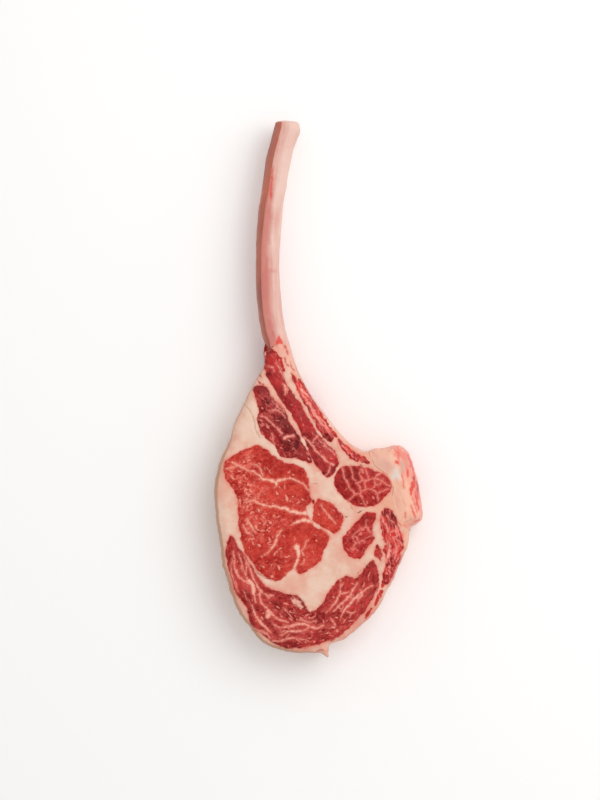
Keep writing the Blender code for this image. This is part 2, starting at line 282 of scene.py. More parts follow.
outlines = {}
for name in MUSCLES:
    others = [spline(loop, NEIGHBOUR_STEP, True) for other, loop in plain.items() if other != name]
    outlines[name] = frayed(plain[name], OUTLINE_STEP, FRAY, MUSCLE_GROW, Nearest(np.vstack(others)))
    print(f"{name}: {signed_area(outlines[name]) * 1e4:.1f} square cm")
along_chine = Nearest(spline(chine_rim, OUTLINE_STEP, True))
to_chine = along_chine(plain["fat"])
fat_rim = plain["fat"][(to_chine < SEAM_POINT) | (to_chine > CORNER_POINT)]
along_fat = Nearest(spline(fat_rim, OUTLINE_STEP, True))
fat_outline = frayed(fat_rim, OUTER_STEP, OUTER_FRAY, 0, along_chine)
chine_outline = frayed(chine_rim, OUTER_STEP, OUTER_FRAY, CHINE_OVERLAP, along_fat)

# %% [markdown]
# ## The height of the cut face
# A cut face is flat, but not a plane: the knife leaves long waves, the steak thins where
# it closes on the bone, and the trimmed edges are round. It could be sculpted, but a
# formula gives the same height to every piece that meets there. The sizes are those that
# the solids were made with.

# %% Heights
THICKNESS = 0.0452
NECK_FRONT, NECK_BACK = 0.04, 0.006  # the two faces at the neck
NECK_TAPER = (-0.024, 0.04)  # the steak thins between these two y
EDGE_REACH = 0.009  # the trimmed edge is round this far in
EDGE_DROP, NECK_EDGE_DROP = 0.009, 0.0016  # and falls by this much, less at the neck
NECK_EDGE_Y = (0.006, 0.034)
NECK_SINK, NECK_SINK_Y = 0.01, (0.031, 0.042)  # the neck's end dives under the bone's surface
NECK_RAGGED, NECK_RAGGED_SIZE, NECK_RAGGED_SEED = 0.003, 0.005, 12
NECK_LEFT, NECK_LEFT_X = 0.005, (-0.036, -0.042)  # and sooner on the left
RIPPLE, RIPPLE_LENGTH = 0.0005, 0.062  # the waves that the knife leaves
RIPPLE_WAVES = ((1, 0.6, 1, 0.6), (0.7, -1.3, 0, 0.4))  # turns in x and in y, start, share
SEAM_REACH = 0.0012  # an edge is not free where its neighbour is this near


def rounded(depth, reach):
    """From 1 at an edge to 0 at reach in from it, as a quarter circle."""
    t = 1 - np.clip(depth / reach, 0, 1)
    return 1 - np.sqrt(1 - t * t)


from_chine, from_fat = Nearest(chine_outline), Nearest(fat_outline)
from_edge = Nearest(fat_outline[from_chine(fat_outline) > SEAM_REACH])


def edge_round(points):
    drop = blend(EDGE_DROP, NECK_EDGE_DROP, ease(points[:, 1], *NECK_EDGE_Y))
    return drop * rounded(from_edge(points), EDGE_REACH)


def cut_face(points):
    x, y = (points[:, :2] / RIPPLE_LENGTH * 2 * math.pi).T
    waves = (share * np.sin(in_x * x + in_y * y + start) for in_x, in_y, start, share in RIPPLE_WAVES)
    ragged = points[:, 1] + NECK_RAGGED * noise_at(points[:, :2], NECK_RAGGED_SIZE, NECK_RAGGED_SEED)
    ragged += NECK_LEFT * ease(points[:, 0], *NECK_LEFT_X)
    height = blend(THICKNESS, NECK_FRONT, ease(points[:, 1], *NECK_TAPER))
    return height + RIPPLE * sum(waves) - NECK_SINK * ease(ragged, *NECK_SINK_Y)


def front_face(points):
    return cut_face(points) - edge_round(points)


def back_face(points):
    return NECK_BACK * ease(points[:, 1], *NECK_TAPER) + edge_round(points)


print(f"the front rim varies by {np.ptp(front_face(fat_outline)) * 1000:.1f} mm")

# %% [markdown]
# ## Filling an outline with points
# A cut face needs points all over to carry its bumps, and an extruded outline has none
# inside. A constrained Delaunay triangulation joins any set of points with well-shaped
# triangles and keeps the outline's own edges. The inside gets a staggered grid of
# points, each nudged a little so that no row shows in the highlights.

# %% Filling an outline
NUDGE = 0.16  # of the spacing, each way
CLEARANCE = 0.55  # of the spacing, kept free beside an outline
SAME_POINT = 1e-9


def staggered_grid(low, high, spacing):
    xs = np.arange(low[0], high[0], spacing)
    ys = np.arange(low[1], high[1], spacing * math.sqrt(3) / 2)
    x, y = np.meshgrid(xs, ys)
    x[1::2] += spacing / 2
    return np.column_stack([x.ravel(), y.ravel()])


def fill(loops, spacing, seed):
    """Points over the first loop without the others, and the triangles between them."""
    rng = np.random.default_rng(seed)
    border = np.vstack(loops).astype(np.float32).astype(float)
    edges = []
    first = 0
    for loop in loops:
        edges += [(first + i, first + (i + 1) % len(loop)) for i in range(len(loop))]
        first += len(loop)

    def in_region(points):
        good = is_inside(points, loops[0])
        for hole in loops[1:]:
            good &= ~is_inside(points, hole)
        return good

    grid = staggered_grid(border.min(0), border.max(0), spacing)
    grid += rng.uniform(-NUDGE, NUDGE, grid.shape) * spacing
    grid = grid[in_region(grid)]
    grid = grid[Nearest(border)(grid) > CLEARANCE * spacing].astype(np.float32).astype(float)
    points = np.vstack([border, grid])
    made = delaunay_2d_cdt([Vector(p) for p in points], edges, [], 0, SAME_POINT, False)
    if len(made[0]) != len(points):
        raise ValueError("an outline crosses itself or another one")
    triangles = np.array(made[2])
    doubtful = (triangles < len(border)).all(1)
    keep = np.ones(len(triangles), bool)
    keep[doubtful] = in_region(points[triangles[doubtful]].mean(1))
    return points, triangles[keep]


# %% [markdown]
# ## A column with two faces
# Muscles, fat and chine bone are meshed alike: a front face, a back face, and a wall for
# each outline. A hidden wall needs one row of faces. A free one gets many, so that it can
# be uneven.

# %% Building a column
SHARP = math.radians(55)  # an edge sharper than this is shaded as an edge
BACK_SEED = 50  # gives the back face other points


def new_piece(name, vertices, faces):
    mesh = bpy.data.meshes.new(name)
    faces = [tuple(int(i) for i in face) for face in faces]
    mesh.from_pydata(np.asarray(vertices).tolist(), [], faces)
    mesh.shade_smooth()
    mesh.set_sharp_from_angle(angle=SHARP)
    piece = bpy.data.objects.new(name, mesh)
    bpy.context.scene.collection.objects.link(piece)
    return piece


def column(name, loops, front, back, spacing, back_spacing, wall_rows=1, wall=None, seed=1):
    """A closed piece between back and front, its outer wall in wall_rows rows."""
    tops, top_faces = fill(loops, spacing, seed)
    bottoms, bottom_faces = fill(loops, back_spacing, seed + BACK_SEED)
    top = np.column_stack([tops, front(tops)])
    bottom = np.column_stack([bottoms, back(bottoms)])
    vertices = [top, bottom]
    faces = [tuple(face) for face in top_faces]
    faces += [(a + len(top), c + len(top), b + len(top)) for a, b, c in bottom_faces]
    start, extra = 0, len(top) + len(bottom)
    for number, loop in enumerate(loops):
        ring = np.arange(len(loop))
        rows = [start + ring]
        for row in range(1, wall_rows if number == 0 else 1):
            share = row / wall_rows
            between = top[start + ring] * (1 - share) + bottom[start + ring] * share
            vertices.append(wall(between, share))
            rows.append(extra + ring)
            extra += len(loop)
        rows.append(len(top) + start + ring)
        for upper, lower in zip(rows, rows[1:]):
            faces += zip(upper, lower, np.roll(lower, -1), np.roll(upper, -1))
        start += len(loop)
    return new_piece(name, np.vstack(vertices), faces)


# %% Reading and painting the vertices of a piece
def vertices_of(piece):
    values = np.empty(len(piece.data.vertices) * 3)
    piece.data.vertices.foreach_get("co", values)
    return values.reshape(-1, 3)


def paint(piece, **layers):
    """Stores a number or a vector for each vertex under each name."""
    for name, values in layers.items():
        kind, key = ("FLOAT_VECTOR", "vector") if np.ndim(values) == 2 else ("FLOAT", "value")
        layer = piece.data.attributes.new(name, kind, "POINT")
        layer.data.foreach_set(key, np.ascontiguousarray(values, np.float32).ravel())


# %% [markdown]
# ## Seams of fat
# Fat runs between the bundles of a muscle, and the large seams are what a butcher knows
# the cut by. A noise texture would put them anywhere, so they are listed one by one: each
# seam's width at its start, middle and end, and points along it, in millimetres. Each
# vertex stores how far it is outside the nearest seam, and the material turns that into
# a soft, frayed edge that is finer than the mesh.

# %% Seams drawn as lines
SEAMS = {
    "eye_muscle": [
        ((0.7, 2, 1.6), (-55.5, -65), (-51.5, -66), (-47.5, -68.5), (-43.5, -72), (-38.5, -73), (-34, -74),
         (-28, -72.5), (-22.5, -71)),
        ((1.4, 1, 0.7), (-22.5, -71), (-18, -73), (-13, -75.5), (-8, -80.5)),
        ((2.1, 1.9, 0.6), (-34, -74), (-33, -77), (-35.5, -79)),
        ((0.5, 1, 0.6), (-70, -59), (-65, -60.5), (-60, -63), (-55.5, -65)),
        ((0.5, 0.9, 0.5), (-74, -64), (-70, -63), (-65, -61.5)),
        ((0.4, 0.7, 0.8), (-53, -60.5), (-48, -61.5), (-46, -65), (-44, -70)),
        ((0.6, 1.4, 1.1), (-55.5, -89.5), (-51.5, -89), (-47.5, -91.5), (-42.5, -93), (-38, -94)),
        ((1.3, 2.4, 2.7), (-38, -94), (-34, -93), (-30, -95), (-26, -96), (-22, -98), (-17, -99),
         (-12, -99.5), (-8, -98), (-5, -94.5)),
        ((1.8, 2.9, 1), (-20, -108), (-17, -106.5), (-12, -105), (-6.5, -105.5), (0, -108), (6, -113.5),
         (10, -117)),
        ((1, 1.4, 0.4), (-30, -113.5), (-33, -117.5), (-34.5, -124), (-38, -128), (-43.5, -133)),
        ((3.7, 1.8, 2.7), (-17, -126.5), (-16, -131), (-16.5, -136), (-18, -142.5), (-18.5, -145.5)),
        ((0.5, 0.8, 0.6), (-9, -121), (-12, -127), (-14, -129.5)),
        ((0.6, 0.8, 0.4), (-14, -129.5), (-11.5, -133.5)),
        ((1, 1.5, 0.5), (-57, -104), (-53, -110.5), (-50, -115)),
        ((0.5, 0.9, 0.4), (-60, -109.5), (-57, -114.5), (-52, -117.5)),
    ],
    "cap_muscle": [
        ((0.7, 1.1, 0.6), (17.5, -153), (18, -159), (16, -167), (12, -173.5), (6, -179)),
        ((1, 1.6, 1), (31, -155), (28, -161), (24, -166.5), (18, -172), (12.5, -177.5)),
        ((1.1, 2.1, 1), (43, -157.5), (36.5, -161.5), (30, -166.5), (25.5, -172), (20.5, -177.5),
         (18, -183)),
        ((0.7, 1, 0.5), (18, -164), (24, -162.5)), ((0.8, 1.8, 0.6), (33.5, -160), (35, -164), (31, -169)),
        ((0.6, 1.1, 0.6), (10, -184), (13.5, -189.5), (10, -191)),
        ((0.6, 0.8, 0.4), (-14.5, -184), (-8, -186.5), (-2, -185.5)),
        ((0.5, 0.8, 0.4), (22, -178.5), (27, -180), (29.5, -177.5)),
        ((0.7, 1.4, 1.4), (-68, -129.5), (-67, -137), (-66, -144), (-64, -149.5), (-60, -153),
         (-55.5, -155.5)),
        ((0.4, 0.9, 0.5), (-69, -135.5), (-69.5, -145.5), (-66.5, -156.5), (-64, -161.5)),
        ((0.5, 1, 1), (-64, -132), (-59.5, -144), (-56.5, -153)),
        ((0.4, 0.9, 1), (-59, -134.5), (-54, -145.5), (-52, -152)),
        ((2.9, 3.4, 0.8), (-55.5, -153.5), (-52.5, -156), (-52, -159), (-52, -162.5), (-50.5, -167.5),
         (-50, -171)),
        ((1.1, 1.4, 0.6), (-52, -152), (-47, -160), (-43, -164), (-36.5, -165.5)),
        ((0.6, 1, 0.6), (-43, -164), (-39.5, -167), (-37, -165)),
        ((1, 1.6, 0.7), (-47, -161.5), (-45.5, -170), (-40.5, -176), (-36, -181), (-30, -185),
         (-23.5, -186.5)),
        ((1, 2.2, 1.2), (-52.5, -173.5), (-50.5, -180), (-46, -187), (-40.5, -191.5), (-38, -195)),
        ((0.6, 1.1, 0.6), (-53, -191), (-47, -193.5), (-40.5, -197), (-38, -201)),
        ((0.8, 1.8, 1), (-36, -188), (-30, -190.5), (-21, -189.5), (-14, -188), (-8.5, -189.5),
         (-1.5, -191.5), (3.5, -189)),
        ((0.6, 1.4, 0.8), (-30, -197), (-23.5, -194.5), (-16, -194), (-8.5, -192)),
        ((0.5, 1.1, 0.6), (-37, -202), (-30, -201.5), (-18.5, -199.5), (-8.5, -201)),
        ((2.4, 4.4, 2.4), (-40, -177), (-39, -179), (-40.5, -181.5)),
    ],
    "outer_rib_muscle": [
        ((1.1, 1.3, 1.4), (-46, -21.5), (-42, -23), (-37, -28), (-32, -32), (-29, -36)),
        ((0.5, 1, 0.6), (-39.5, -17.5), (-34.5, -17), (-30, -19), (-26.5, -23)),
        ((2.4, 2.9, 2.4), (-26.5, -39), (-23.5, -38), (-20, -37)),
        ((0.8, 1, 0.5), (-37, -36), (-36, -41), (-34.5, -44)),
        ((0.4, 0.7, 0.4), (-33, -10.5), (-34, -15), (-38.5, -19)),
        ((0.5, 0.7, 0.5), (-36.5, -10), (-30.5, -15.5), (-27, -19.5)),
        ((0.4, 0.6, 0.4), (-35, -8), (-30.5, -13), (-26.5, -17.5)),
    ],
    "long_rib_muscle": [
        ((1.4, 1.5, 1.4), (-12, -38.5), (-6.5, -43), (-2, -49), (3, -54.5), (8, -59), (12, -61)),
        ((0.8, 1.3, 1), (-6, -45.5), (-4, -41.5), (0, -37.5)),
        ((0.8, 1, 0.6), (10, -61), (8.5, -65.5), (5.5, -69.5)),
        ((1.9, 2.2, 1), (-28, 4), (-26, 1), (-26.5, -4)),
        ((0.6, 1, 0.6), (3, -39), (6, -45.5), (12, -50.5)),
        # This pale line along the curl of the flap at the neck is a painted highlight, not fat
        ((1, 1.8, 0.8), (-40, 18), (-37, 17), (-35, 14.5)),
        ((0.5, 1.1, 0.6), (-33, 21.5), (-30, 14.5), (-27.5, 8)),
    ],
    "round_muscle": [
        ((1, 1.1, 1), (19.5, -62), (20.5, -69.5), (24, -75.5), (25, -79.5), (30, -84), (33.5, -83.5)),
        ((0.9, 1, 1), (25.5, -60.5), (27.5, -69.5), (31.5, -76), (34, -83)),
        ((1, 1, 0.8), (33.5, -83.5), (36, -90), (39, -95.5)),
        ((0.9, 1, 0.9), (23, -92), (25.5, -88.5), (30, -84)),
        ((1, 1.1, 0.9), (34, -82), (37.5, -80), (43.5, -81), (47, -84), (48, -89.5)),
        ((0.9, 1.1, 0.9), (37.5, -80), (38, -74), (41, -72), (45.5, -71.5), (51, -74), (57, -78)),
        ((0.8, 1, 0.8), (30.5, -75), (32, -75), (36, -73), (38, -73.5)),
        ((0.9, 1, 0.9), (45.5, -77), (45, -73), (46.5, -69), (51, -67.5), (54.5, -69)),
        ((0.8, 1, 0.8), (38, -63.5), (39, -69), (40, -72)),
        ((0.8, 1, 0.8), (33.5, -64), (33.5, -68), (35, -73)),
        ((0.8, 1, 0.8), (43, -80), (45.5, -77), (49.5, -75.5), (52, -72)),
        ((0.8, 1, 0.8), (46.5, -83.5), (53, -81.5), (56, -80)),
    ],
    "wedge_muscle": [
        ((0.5, 0.9, 0.6), (1.5, -92.5), (5.5, -97.5), (9.5, -102.5), (14, -108)),
    ],
    "oval_muscle": [
        ((0.4, 0.8, 0.4), (38, -105), (37.5, -110.5), (32, -113.5), (27, -118.5)),
        ((0.4, 0.8, 0.5), (36, -121), (31, -123), (26, -128)),
        ((0.6, 0.8, 0.6), (33.5, -111.5), (38, -111), (41.5, -115)),
        ((0.7, 1, 0.6), (27.5, -117.5), (31.5, -119.5), (33, -123.5)),
    ],
    "side_muscle": [
        ((0.6, 1.3, 1), (50, -99), (52, -105), (55, -110.5), (56.5, -115)),
        ((0.5, 0.8, 0.6), (55, -101.5), (57.5, -105.5), (60, -107)),
        ((0.8, 2.4, 1.3), (56, -121.5), (57, -127), (56.5, -133.5), (54.5, -139)),
        ((0.6, 1.1, 0.6), (62, -125.5), (62.5, -130.5), (61, -136)),
        ((0.6, 1, 0.6), (58, -114.5), (62, -113.5), (65.5, -116)),
        ((0.5, 0.8, 0.5), (60, -119), (64, -121), (66.5, -124)),
    ],
    "long_strip_front": [
        ((1.6, 2.7, 1.6), (-14.5, 1), (-11.5, -2.5), (-8, -4)),
        ((0.6, 1.3, 0.6), (-7.5, -13), (-3.5, -18.5), (1.5, -25.5), (7, -33)),
        ((0.5, 1, 0.5), (-14, -3), (-8, -11), (-2.5, -21), (2, -29.5)),
        ((0.8, 1.3, 0.8), (-12, 1), (-8, -4), (-5, -8), (-2, -13)),
        ((0.9, 1.1, 0.7), (-5, -15.5), (-3, -21), (1.5, -23), (5.5, -27.5), (9, -34)),
    ],
}
print(sum(map(len, SEAMS.values())), "seams in", len(SEAMS), "muscles")

# %% [markdown]
# Between the seams lie short flecks of fat. Each is a start, a step along and across the
# plan, and a width.

# %% Flecks, listed one by one
FLECKS = {
    "eye_muscle": [
        (-68, -60, 4, -1.5, 0.7), (-64, -61.5, 3, -2, 0.7), (-72, -65, 4, -1, 0.8),
        (-42, -63, 2.5, -2, 0.8), (-39.5, -65, 1, -3, 1), (-48, -59, 2, -1.5, 0.8),
        (-43.5, -63, 1.5, -2, 0.7), (-54.5, -80, 1, -2.5, 1.8), (-49, -83, 3, -1.5, 0.8),
        (-46, -81.5, -1, -4, 0.8), (-33.5, -82, 1.5, -3.5, 1.4), (-26, -85, 1, -4.5, 1.8),
        (-27.5, -77.5, 0.5, -3, 1), (-31.5, -77.5, 0.5, -1.5, 0.7), (-48, -96.5, 1, -1, 1.8),
        (-49.5, -109.5, 0.5, -3, 1.9), (-46.5, -113.5, 4, 0, 1), (-40, -111.5, 1, 0, 1.6),
        (-39.5, -118.5, 1.5, -3.5, 1.2), (-38, -121.5, -2.5, -1.5, 1), (-47.5, -125, 1, -1, 1.8),
        (-52, -122.5, 1, -2.5, 1.3), (-32, -128, 3, 1, 1), (-34, -130, 1, -1, 1.8),
        (-33, -130.5, -2.5, -2.5, 1), (-32, -141.5, 1, -3, 1.4), (-45, -141.5, 1, -1, 1.8),
        (-45, -133.5, 0.5, -1.5, 1), (-25, -135, 3, 1, 1.1), (-12, -137, 0.5, -3, 1),
        (-11.5, -140, -2.5, -1.5, 0.6), (-12, -136, 1.5, -1.5, 0.8), (-37.5, -149.5, 1, -0.5, 1.9),
        (-22, -109, 1, -0.5, 1.4), (-57, -105.5, 1, -2.5, 1), (-54.5, -100, 1.5, 1.5, 0.8),
        (-57, -93, 0, -4, 0.7), (-54, -89, 2.5, -1.5, 0.8), (-50.5, -86.5, 1, -5, 0.8),
        (-22.5, -65, -1.5, -3, 0.8), (-20, -68, 1, -1, 1), (-26.5, -72, -3, -1.5, 0.8),
        (-62.5, -89, 1, -4, 0.6), (-63.5, -73, 2.5, -3, 0.8), (-70, -69.5, 2.5, -3, 1),
        (-59.5, -69.5, 3, -3, 0.8), (-13, -88, 1.5, -1.5, 1), (-16, -89.5, -1.5, -3, 0.8),
        (-58, -113, 2.5, -2.5, 0.8), (-54, -117.5, -1.5, -4, 0.7), (-5, -129.5, 1, -2.5, 0.6),
        (-7.5, -119, -1, -2.5, 0.7), (-18, -119, -1.5, -2.5, 0.6), (-28, -117, 1.5, -2.5, 0.6),
        (-34.5, -102.5, 5, 1, 0.7), (-30, -105, 4, 1, 0.6), (-40, -105, 3, -2.5, 0.7),
        (-45, -101, 3, -2.5, 0.7), (-44, -108, 2.5, 2.5, 0.7), (-50, -102.5, 1.5, -2.5, 0.7)
    ],
    "wedge_muscle": [(-1, -100, 1.5, -1, 1), (12, -96, 1, -1.5, 0.7), (8, -101.5, 3, -3, 0.9)],
    "cap_muscle": [
        (-58, -139, 0.5, -8, 1), (-62.5, -141.5, 2.5, -5, 0.6), (-54.5, -145, 1.5, -6.5, 0.7),
        (-66, -153, 1, -6.5, 0.8), (-60, -161, 2.5, -8, 0.7), (-55.5, -169, 1.5, -5, 0.6),
        (-42, -178.5, 3, -3, 2.4), (-40, -179, -1.5, -1.5, 2), (-45.5, -182.5, 1, -2, 1.8),
        (-38.5, -202.5, 9, 1.5, 1), (-30, -201, 9, 2.5, 0.8), (-17.5, -201, 3.5, -1.5, 1),
        (-4, -201, 1.5, -1, 1.9), (-8, -200, 2.5, 1.5, 1), (12, -190, 1, -1.5, 1.9), (15, -193, 1, -1, 1.8),
        (4, -185, 1, -1, 1.4), (5.5, -196, 3, 1.5, 0.8), (0, -194.5, 3, 1, 0.8), (12, -166.5, 1, 0, 1.6),
        (-14.5, -183, 2.5, -1.5, 1), (-10, -181.5, 2.5, 1.5, 0.8), (-5, -183, 3, 1.5, 1),
        (-24, -182.5, 3, -3, 0.8), (-28, -174.5, 3, -4, 1.2), (-25, -178.5, 5, -5, 1),
        (-27.5, -171, 4, -1.5, 1), (-22.5, -178.5, 4, 0, 0.8), (-34, -173.5, 3, -1.5, 1),
        (-18, -193, 5, -1.5, 1), (-30.5, -194.5, 6.5, 1, 0.9), (-26.5, -198.5, 4, 2.5, 0.8),
        (-48, -197, 5, -4, 0.8), (-51.5, -191, 3, -3, 0.8), (-45, -193, 5, -3, 0.9),
        (17.5, -177.5, 3, 4, 0.8), (25.5, -169, 3, 5, 0.8), (30, -173, 3, 5.5, 0.7),
        (27, -178.5, -1.5, -5, 0.9), (21.5, -184, -1.5, -3, 1), (24.5, -185.5, 5, 0, 0.8),
        (35, -161, 1.5, 6.5, 0.8), (40, -153, 1.5, 6.5, 0.7), (30, -157, -3, 1.5, 0.7),
        (17.5, -159, 3, 4, 0.9), (20.5, -162.5, 3, -1, 1)
    ],
    "round_muscle": [
        (19.5, -64, 0.5, -2.5, 1.6), (44, -86.5, 1, -1, 1.6), (38, -89.5, 1.5, -1.5, 1.6),
        (33, -92, 2, 0, 0.8), (35, -64, 1, -3, 1.8), (23, -80, -1, -1.5, 1)
    ],
    "oval_muscle": [
        (40, -110.5, 1, -3, 1.1), (44, -111, -0.5, -5, 0.8), (28, -121.5, 3, -2.5, 0.7),
        (22.5, -127, 4, -3.5, 0.8), (29.5, -128, 2.5, -1.5, 0.8), (38, -119, 5.5, 1, 0.8),
        (27, -117.5, 0.5, -3, 0.8)
    ],
    "outer_rib_muscle": [
        (-45, -15, 0.5, -1, 1.3), (-45, -7, 1.5, -1.5, 0.6), (-42.5, -12, 2.5, -1.5, 0.6),
        (-50, -7, 1.5, -1.5, 0.6), (-38.5, -5.5, 1.5, -2.5, 0.6), (-48, -24, 3, -1.5, 1),
        (-46.5, -34.5, 2.5, -1, 0.6), (-33, -33.5, 3, 2.5, 0.7), (-34.5, -25.5, 3, 0, 0.6),
        (-42, -28, 2.5, -2.5, 0.7), (-30, -46.5, 1, -1, 1.3), (-24, -41, 1.5, -1, 1),
        (-27.5, -51, 1.5, -2.5, 0.6), (-23.5, -50.5, 1.5, -3, 0.6), (-19.5, -47, 1.5, -3, 0.6),
        (-14.5, -51, 1.5, -2.5, 0.7), (-20, -56, 3, 1, 0.7), (-8, -55, 1, -1, 1.3),
        (-10, -50.5, 2.5, -2.5, 0.6), (-45, -21, 1.5, -1.5, 0.6), (-38.5, -37.5, 1.5, -3, 0.8),
        (-38, -21, 1, -2.5, 0.6)
    ],
    "long_rib_muscle": [
        (-24.5, 2, -0.5, -5.5, 1.3), (-22.5, -12, 1, -1.5, 0.6), (-12, -28, 1, -1.5, 0.8),
        (-14.5, -23, 1, -2.5, 0.6), (-5, -34.5, 1, -2.5, 0.6), (0, -41.5, 3, -1.5, 1.3),
        (5.5, -41.5, 2.5, -3, 1.3), (4, -45.5, 3, -1, 1), (1.5, -49, 2.5, -1.5, 0.8),
        (8.5, -47, 1.5, -3, 0.8), (12, -51, 1.5, -2.5, 1.4), (9.5, -55, 2.5, -1.5, 1),
        (-6.5, -44, 1.5, -1.5, 0.8)
    ],
    "long_strip_front": [
        (-14.5, 5, 2.5, -3, 1.1), (-10.5, -1, 1.5, -4, 1), (-7.5, -10.5, 1.5, -2.5, 1.1),
        (-10, -6.5, 1.5, -3, 1.1), (-4, -15, 2.5, -2.5, 1), (0, -18.5, 2.5, -2.5, 0.9),
        (-3.5, -24, 1.5, -3, 0.8), (0, -28, 1.5, -4, 0.8), (3, -31, 1.5, -4, 0.7), (-6, -20, 1, -3, 0.8)
    ],
    "short_strip_front": [
        (19, -44, 2.5, -4, 0.8), (22, -48, 2.5, -4, 0.8), (25.5, -51, 2.5, -4, 0.8),
        (28.5, -54.5, 2.5, -2.5, 0.7)
    ],
    "side_muscle": [
        (61, -109.5, 2, -3, 1.3), (65.5, -117.5, -4, -1, 0.8), (60.5, -120, 1.5, -4, 0.8),
        (59, -133.5, 1.5, 5, 0.8), (63, -125.5, -1, -5.5, 0.8), (56.5, -145, 1.5, 3, 1)
    ],
}
print(sum(map(len, FLECKS.values())), "flecks in", len(FLECKS), "muscles")

# %% [markdown]
# The fat has its own marks. Scraps of red meat cling to it and thin red lines run through
# it. The knife has left fine cuts, whose dark lines are painted shade in the slits, and its
# skin has two soft folds.

# %% Marks on the fat
SCRAPS = [
    ((2.8, 4, 2.8), (-15, 7), (-10, -1), (-5.5, -8.5), (-0.5, -17), (4, -25), (9, -32), (12, -37)),
    ((8, 5.6, 1.6), (-39.5, 36), (-39.5, 31), (-40.5, 25.5), (-42, 20), (-40, 14.5), (-38, 10.5)),
    ((2.4, 4, 1.6), (-37, 30.5), (-34, 28), (-30.5, 22.5), (-27.5, 15)),
    ((1, 1.3, 1), (-48, 6.5), (-46, 4)), ((0.7, 1, 0.7), (-44.5, 4), (-43, 0.5)),
    ((0.6, 1, 0.6), (-47, 11.5), (-45.5, 9)), ((2, 3.2, 1.6), (54, -125.5), (54, -129.5), (54.5, -134.5)),
    ((1.6, 2, 1.2), (52.5, -120.5), (54, -123)), ((2.8, 3.2, 1.6), (54, -150.5), (52.5, -155), (51, -159)),
    ((2.8, 4, 1.6), (50.5, -162.5), (48, -167), (45.5, -173)),
    ((1.4, 2.6, 1), (42.5, -176), (40, -180), (38, -184)),
    ((1, 1.8, 1), (48.5, -155), (47.5, -159), (47, -162.5)),
    ((3.2, 4, 2.4), (-44.5, 38.5), (-44, 32), (-44, 25.5)),
    ((3.6, 4.4, 3.6), (36, -56.5), (38, -58), (40, -59)),
    ((2, 2.8, 2), (10, -33.5), (12.5, -36), (15, -38.5)), ((1.9, 2.4, 1.6), (-4, -89.5), (-3.5, -91.5)),
]
RED_LINES = [
    ((1, 1.5, 1), (-29, 38), (-26, 33.5), (-24.5, 27.5)), ((1, 1.4, 1), (-27, 25), (-26, 21), (-24, 18.5)),
    ((0.9, 1.3, 0.8), (-22.5, 22), (-21.5, 18), (-19, 14.5)),
    ((0.6, 0.9, 0.5), (-12, -208), (-2.5, -204), (5.5, -201.5)),
    ((0.6, 1.1, 0.5), (-2, -210.5), (3, -209), (7, -210.5)),
]
# The cuts are grooves in the fat, and their dark lines are painted shade in the slits
CUTS = [
    ((0.4, 0.9, 0.7), (-20, -165), (-15.5, -167), (-12, -172), (-10, -177.5)),
    ((0.4, 0.7, 0.5), (-53, -142.5), (-48, -147.5), (-42.5, -151.5), (-36, -154)),
    ((0.4, 0.6, 0.4), (32, -153), (31, -149), (34, -145)),
    ((0.4, 0.6, 0.3), (36.5, -144), (40, -140), (44, -137.5)), ((0.3, 0.5, 0.3), (25.5, -93.5), (29, -98)),
    ((0.4, 1, 0.4), (31, -99.5), (33.5, -98), (36.5, -96.5)),
    ((0.4, 0.9, 0.4), (21, -102.5), (24.5, -102.5)), ((0.3, 0.5, 0.3), (15, -83), (17, -85.5)),
    ((0.6, 1, 0.6), (33.5, -60.5), (35.5, -62)), ((0.4, 0.6, 0.3), (43, -52), (46, -51.5)),
    ((0.3, 0.5, 0.3), (49.5, -59), (52, -65.5), (55.5, -69)), ((0.3, 0.5, 0.3), (-6, -76), (-1, -76)),
    ((0.3, 0.6, 0.3), (66, -133), (64, -138)),
]
# The folds are grooves, and the material darkens them with tan as painted shade
CREASES = [
    ((0.4, 0.7, 0.4), (-60, -11), (-54.5, -18), (-51, -25.5), (-50, -33), (-46.5, -39)),
    ((0.2, 0.5, 0.2), (-14.5, -141.5), (-5, -137), (3, -129.5)),
]
print(len(SCRAPS), "scraps,", len(RED_LINES), "red lines and", len(CUTS), "cuts")

# %% [markdown]
# On the bones the saw and the knife leave bright streaks of wet blood, and dull stains
# where it has dried or soaked in.

# %% Marks on the bones
CHINE_STREAKS = [
    ((1.1, 3.4, 1.6), (77.5, -69.5), (77, -74.5), (76, -79), (74.5, -85)),
    ((0.8, 1.6, 1), (79, -74.5), (80, -81), (80, -89)),
    ((0.8, 1.8, 0.8), (78, -83), (79.5, -89.5), (80.5, -97.5)),
    ((0.6, 1.3, 0.8), (72, -53), (74, -57.5), (74.5, -63)),
    ((0.6, 0.9, 0.6), (67.5, -68), (68, -73.5), (68.5, -79)),
    ((0.6, 1, 0.7), (74, -93.5), (76, -98), (78, -103)),
    ((0.4, 0.6, 0.5), (64.5, -46.5), (64.5, -51), (64, -56)),
    ((0.6, 1.4, 0.6), (71.5, -65), (72, -68), (71.5, -70.5)), ((0.6, 0.9, 0.6), (69.5, -99), (69.5, -103)),
    ((0.6, 1.2, 0.8), (75, -58.5), (76, -63), (77.5, -69)), ((2.1, 2.9, 1.9), (63, -58), (64, -59.5)),
    ((0.6, 1.3, 0.6), (77.5, -107), (81, -105)), ((0.5, 0.7, 0.5), (76, -86.5), (77.5, -93), (79, -99)),
]
RIB_STREAKS = [
    ((0.5, 2.6, 4.8), (-31.5, 43), (-31.5, 40), (-31, 37)),
    ((0.5, 1, 1), (-37, 177), (-37, 171), (-37.5, 163), (-38, 157)),
    ((1, 1.4, 0.6), (-37.5, 157), (-38, 152)),
]
